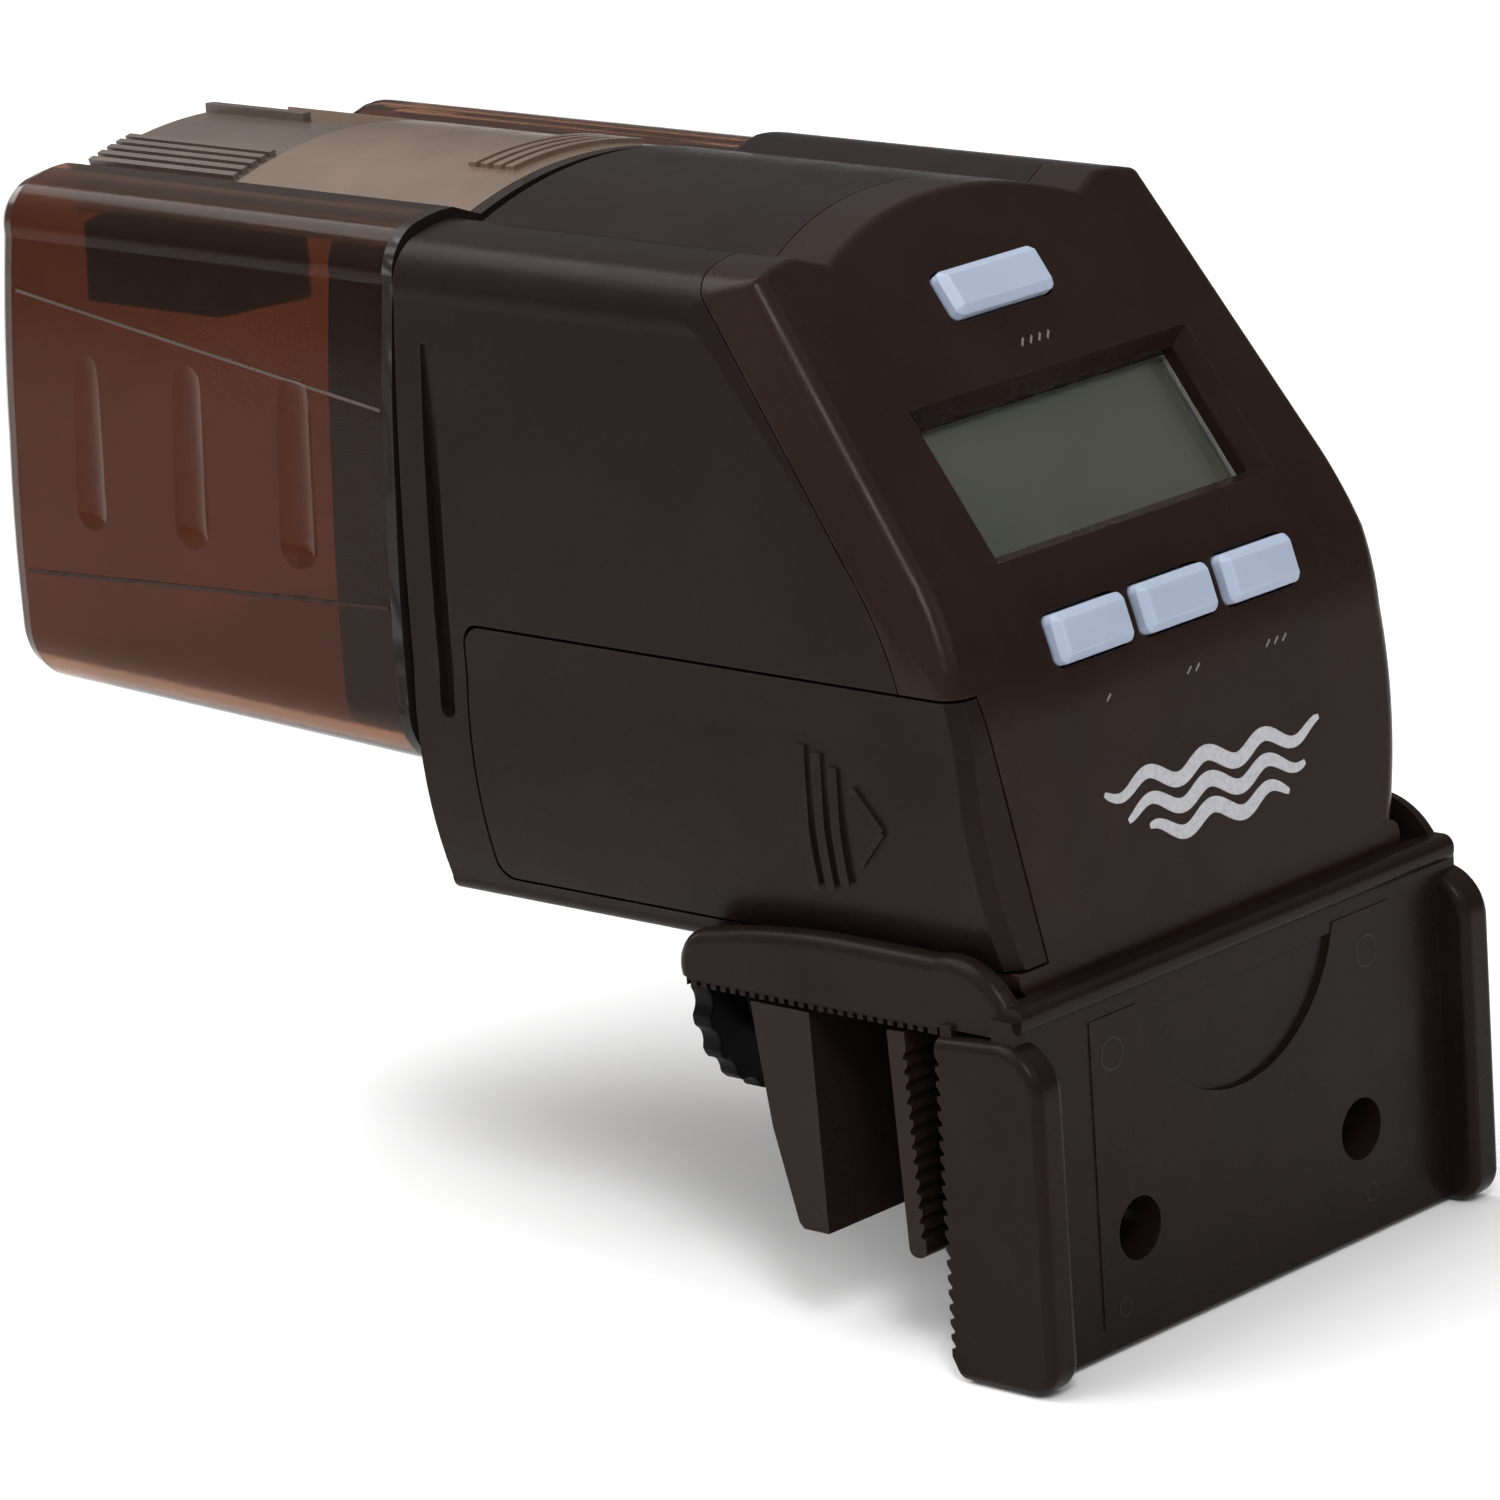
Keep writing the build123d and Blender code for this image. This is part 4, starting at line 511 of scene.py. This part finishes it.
WAVES = 3
WAVE_STEPS = 60
WAVE_LEFT, WAVE_RIGHT, WAVE_TOP = -14.0, 19.5, 19.2
WAVE_STEP_IN, WAVE_STEP_DOWN = 3.0, 2.6
WAVE_LENGTH, WAVE_HEIGHT, WAVE_TILT, WAVE_PHASE = 9.0, 0.85, 0.035, 0.4
WAVE_THIN, WAVE_SWELL, WAVE_PROUD = 0.5, 1.1, 0.05


def wave_width(share):
    return (WAVE_THIN + WAVE_SWELL * math.sin(math.pi * share) ** 0.5) * MM


def wave_mark(tree, silver):
    """Three waves over each other, printed in silver below the buttons."""
    rows = []
    for k in range(WAVES):
        line = []
        x0, x1 = WAVE_LEFT + WAVE_STEP_IN * k, WAVE_RIGHT - WAVE_STEP_IN * k
        for i in range(WAVE_STEPS + 1):
            x = x0 + (x1 - x0) * (i / WAVE_STEPS)
            swing = WAVE_HEIGHT * math.sin(2 * math.pi * x / WAVE_LENGTH + WAVE_PHASE)
            line.append((x * MM, (WAVE_TOP - WAVE_STEP_DOWN * k - WAVE_TILT * x + swing) * MM))
        rows.append((front_strip(tree, line, wave_width), WAVE_PROUD * MM))
    ribbon("wave_mark", rows, silver, "housing")


TICKS = {            # x, z and how many
    "feed": (1.6, 59.6, 4), "set": (-11.4, 28.6, 1), "hour": (1.6, 28.4, 2), "minute": (14.6, 28.2, 3),
}
TICK_GAP, TICK_WIDTH, TICK_PROUD = 1.3, 0.22, 0.03


def small_marks(tree, pale):
    """Tiny printed ticks below each button, each key with its own number of them."""
    for key, (x, z, count) in TICKS.items():
        rows = []
        for i in range(count):
            cx = x + (i - (count - 1) / 2) * TICK_GAP
            line = [((cx - 0.35 + 0.175 * j) * MM, (z - 0.3 + 0.15 * j) * MM) for j in range(5)]
            rows.append((front_strip(tree, line, lambda share: TICK_WIDTH * MM), TICK_PROUD * MM))
        ribbon("tick_" + key, rows, pale, "housing")


PINS = {             # x, z and radius
    "left_top": (-20.5, -3.9, 1.6), "right_top": (19.6, -4.3, 1.6),
    "left_low": (-20.4, -29.7, 0.9), "right_low": (18.9, -29.4, 0.9),
}
PIN_STEPS, PIN_SWEEP = 40, 355
PIN_WIDTH, PIN_PROUD = 0.16, 0.035


def ejector_marks(tree, material):
    """Faint rings that the mould's ejector pins leave on the plate."""
    turns = [math.radians(PIN_SWEEP * i / PIN_STEPS) for i in range(PIN_STEPS + 1)]
    for key, (x, z, radius) in PINS.items():
        line = [((x + radius * math.cos(a)) * MM, (z + radius * math.sin(a)) * MM) for a in turns]
        row = front_strip(tree, line, lambda share: PIN_WIDTH * MM)
        ribbon("ejector_" + key, [(row, PIN_PROUD * MM)], material, "housing")


DRUM_LINE_STEPS = 48
OUTSIDE_DRUM = 0.06


def drum_line(name, ends, width_mm, height_mm, material):
    """A fine raised strip on both sides of the drum, between two (y, z) ends."""
    tree = tree_of("drum_shell")
    (y0, z0), (y1, z1) = ends
    rows = []
    for side in (-1, 1):
        out = Vector((side, 0, 0))
        row = []
        for i in range(DRUM_LINE_STEPS + 1):
            t = i / DRUM_LINE_STEPS
            y, z = y0 + (y1 - y0) * t, z0 + (z1 - z0) * t
            edge = []
            for dz in (width_mm / 2, -width_mm / 2):
                start = Vector((side * OUTSIDE_DRUM, y * MM, (z + dz) * MM))
                edge.append(tree.ray_cast(start, -out)[0])
            if None not in edge:
                row.append((edge[0], edge[1], out) if side < 0 else (edge[1], edge[0], out))
        rows.append((row, height_mm * MM))
    ribbon(name, rows, material, "drum")


SCREW_Z = -10.9
SCREW_HEAD = ((6.1, 2.4), (6.35, 2.8), (7.65, 2.8), (7.9, 2.4), (7.95, 2.0), (10.0, 2.0), (10.2, 2.7))
THREAD_START, THREAD_END, THREAD_STEP = 10.4, 50.2, 0.125
THREAD_CREST, THREAD_ROOT, THREAD_PITCH, THREAD_RUN_IN = 4.0, 3.1, 2.0, 1.6
THREAD_VALLEY, THREAD_FLANK, THREAD_TOP = 0.36, 0.20, 0.24     # shares of the pitch
SCREW_AROUND = 48


def thread_radius(y, share_round):
    """Radius of the thread at y, share_round of a turn from the +X side."""
    phase = ((y - THREAD_START) / THREAD_PITCH - share_round) % 1.0
    rise_end = THREAD_VALLEY + THREAD_FLANK
    fall_start = rise_end + THREAD_TOP
    if phase < THREAD_VALLEY:
        lift = 0.0
    elif phase < rise_end:
        lift = (phase - THREAD_VALLEY) / THREAD_FLANK
    elif phase < fall_start:
        lift = 1.0
    else:
        lift = 1.0 - (phase - fall_start) / THREAD_FLANK
    run_in = min(1.0, (y - THREAD_START) / THREAD_RUN_IN)
    return THREAD_ROOT + (THREAD_CREST - THREAD_ROOT) * lift * run_in


def threaded_screw(material):
    """The clamp screw with its real helical thread, in place of the plain rings."""
    n = SCREW_AROUND
    steps = int(round((THREAD_END - THREAD_START) / THREAD_STEP))
    circles = [(y, [radius] * n) for y, radius in SCREW_HEAD]
    for i in range(steps + 1):
        y = THREAD_START + THREAD_STEP * i
        circles.append((y, [thread_radius(y, j / n) for j in range(n)]))
    verts = []
    for y, radii in circles:
        for j, radius in enumerate(radii):
            a = 2 * math.pi * j / n
            verts.append((radius * math.cos(a) * MM, y * MM, (SCREW_Z + radius * math.sin(a)) * MM))
    faces = []
    for i in range(len(circles) - 1):
        for j in range(n):
            k = (j + 1) % n
            faces.append((i * n + j, (i + 1) * n + j, (i + 1) * n + k, i * n + k))
    last = (len(circles) - 1) * n
    faces.append(tuple(range(n)))
    faces.append(tuple(last + j for j in reversed(range(n))))
    obj = new_mesh("helical_screw", verts, faces, smooth=True)
    obj.data.materials.append(material)
    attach(obj, "screw")
    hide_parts("clamp_screw")


# ---------------------------------------------------------------- putting it together

DRUM_LINES = {       # ends, width, height, colour, specular
    # the upper strip's paler colour is a painted highlight line along the drum's side
    "drum_line_upper": (((122.4, 60.8), (67.8, 53.5)), 0.32, 0.10, (0.062, 0.042, 0.033), 0.25),
    "drum_line_lower": (((122.4, 31.1), (67.8, 33.6)), 0.4, 0.12, (0.024, 0.012, 0.009), 0.1),
}

make_camera()
make_stage()
looks = make_looks()
for name, obj in sorted(nodes.items()):
    slot = obj.material_slots[0].material.name.split(".")[0]
    dress(obj, looks[FINISH.get(name, slot)], EDGES_MM.get(name, 0))

front = tree_of("front_bezel")
wave_mark(front, ink("look_silver_print", (0.42, 0.42, 0.44)))
small_marks(front, ink("look_pale_print", (0.16, 0.14, 0.14)))
ejector_marks(tree_of("bracket"), moulded("look_mark_plastic", (0.018, 0.012, 0.0105), 0.29, 0.14, wear=0))
threaded_screw(moulded("look_screw_plastic", (0.0110, 0.0085, 0.0080), 0.32, 0.2))
for name, (ends, width, height, colour, specular) in DRUM_LINES.items():
    material = moulded(name.replace("drum", "look"), colour, 0.3, specular, wear=0)
    drum_line(name, ends, width, height, material)
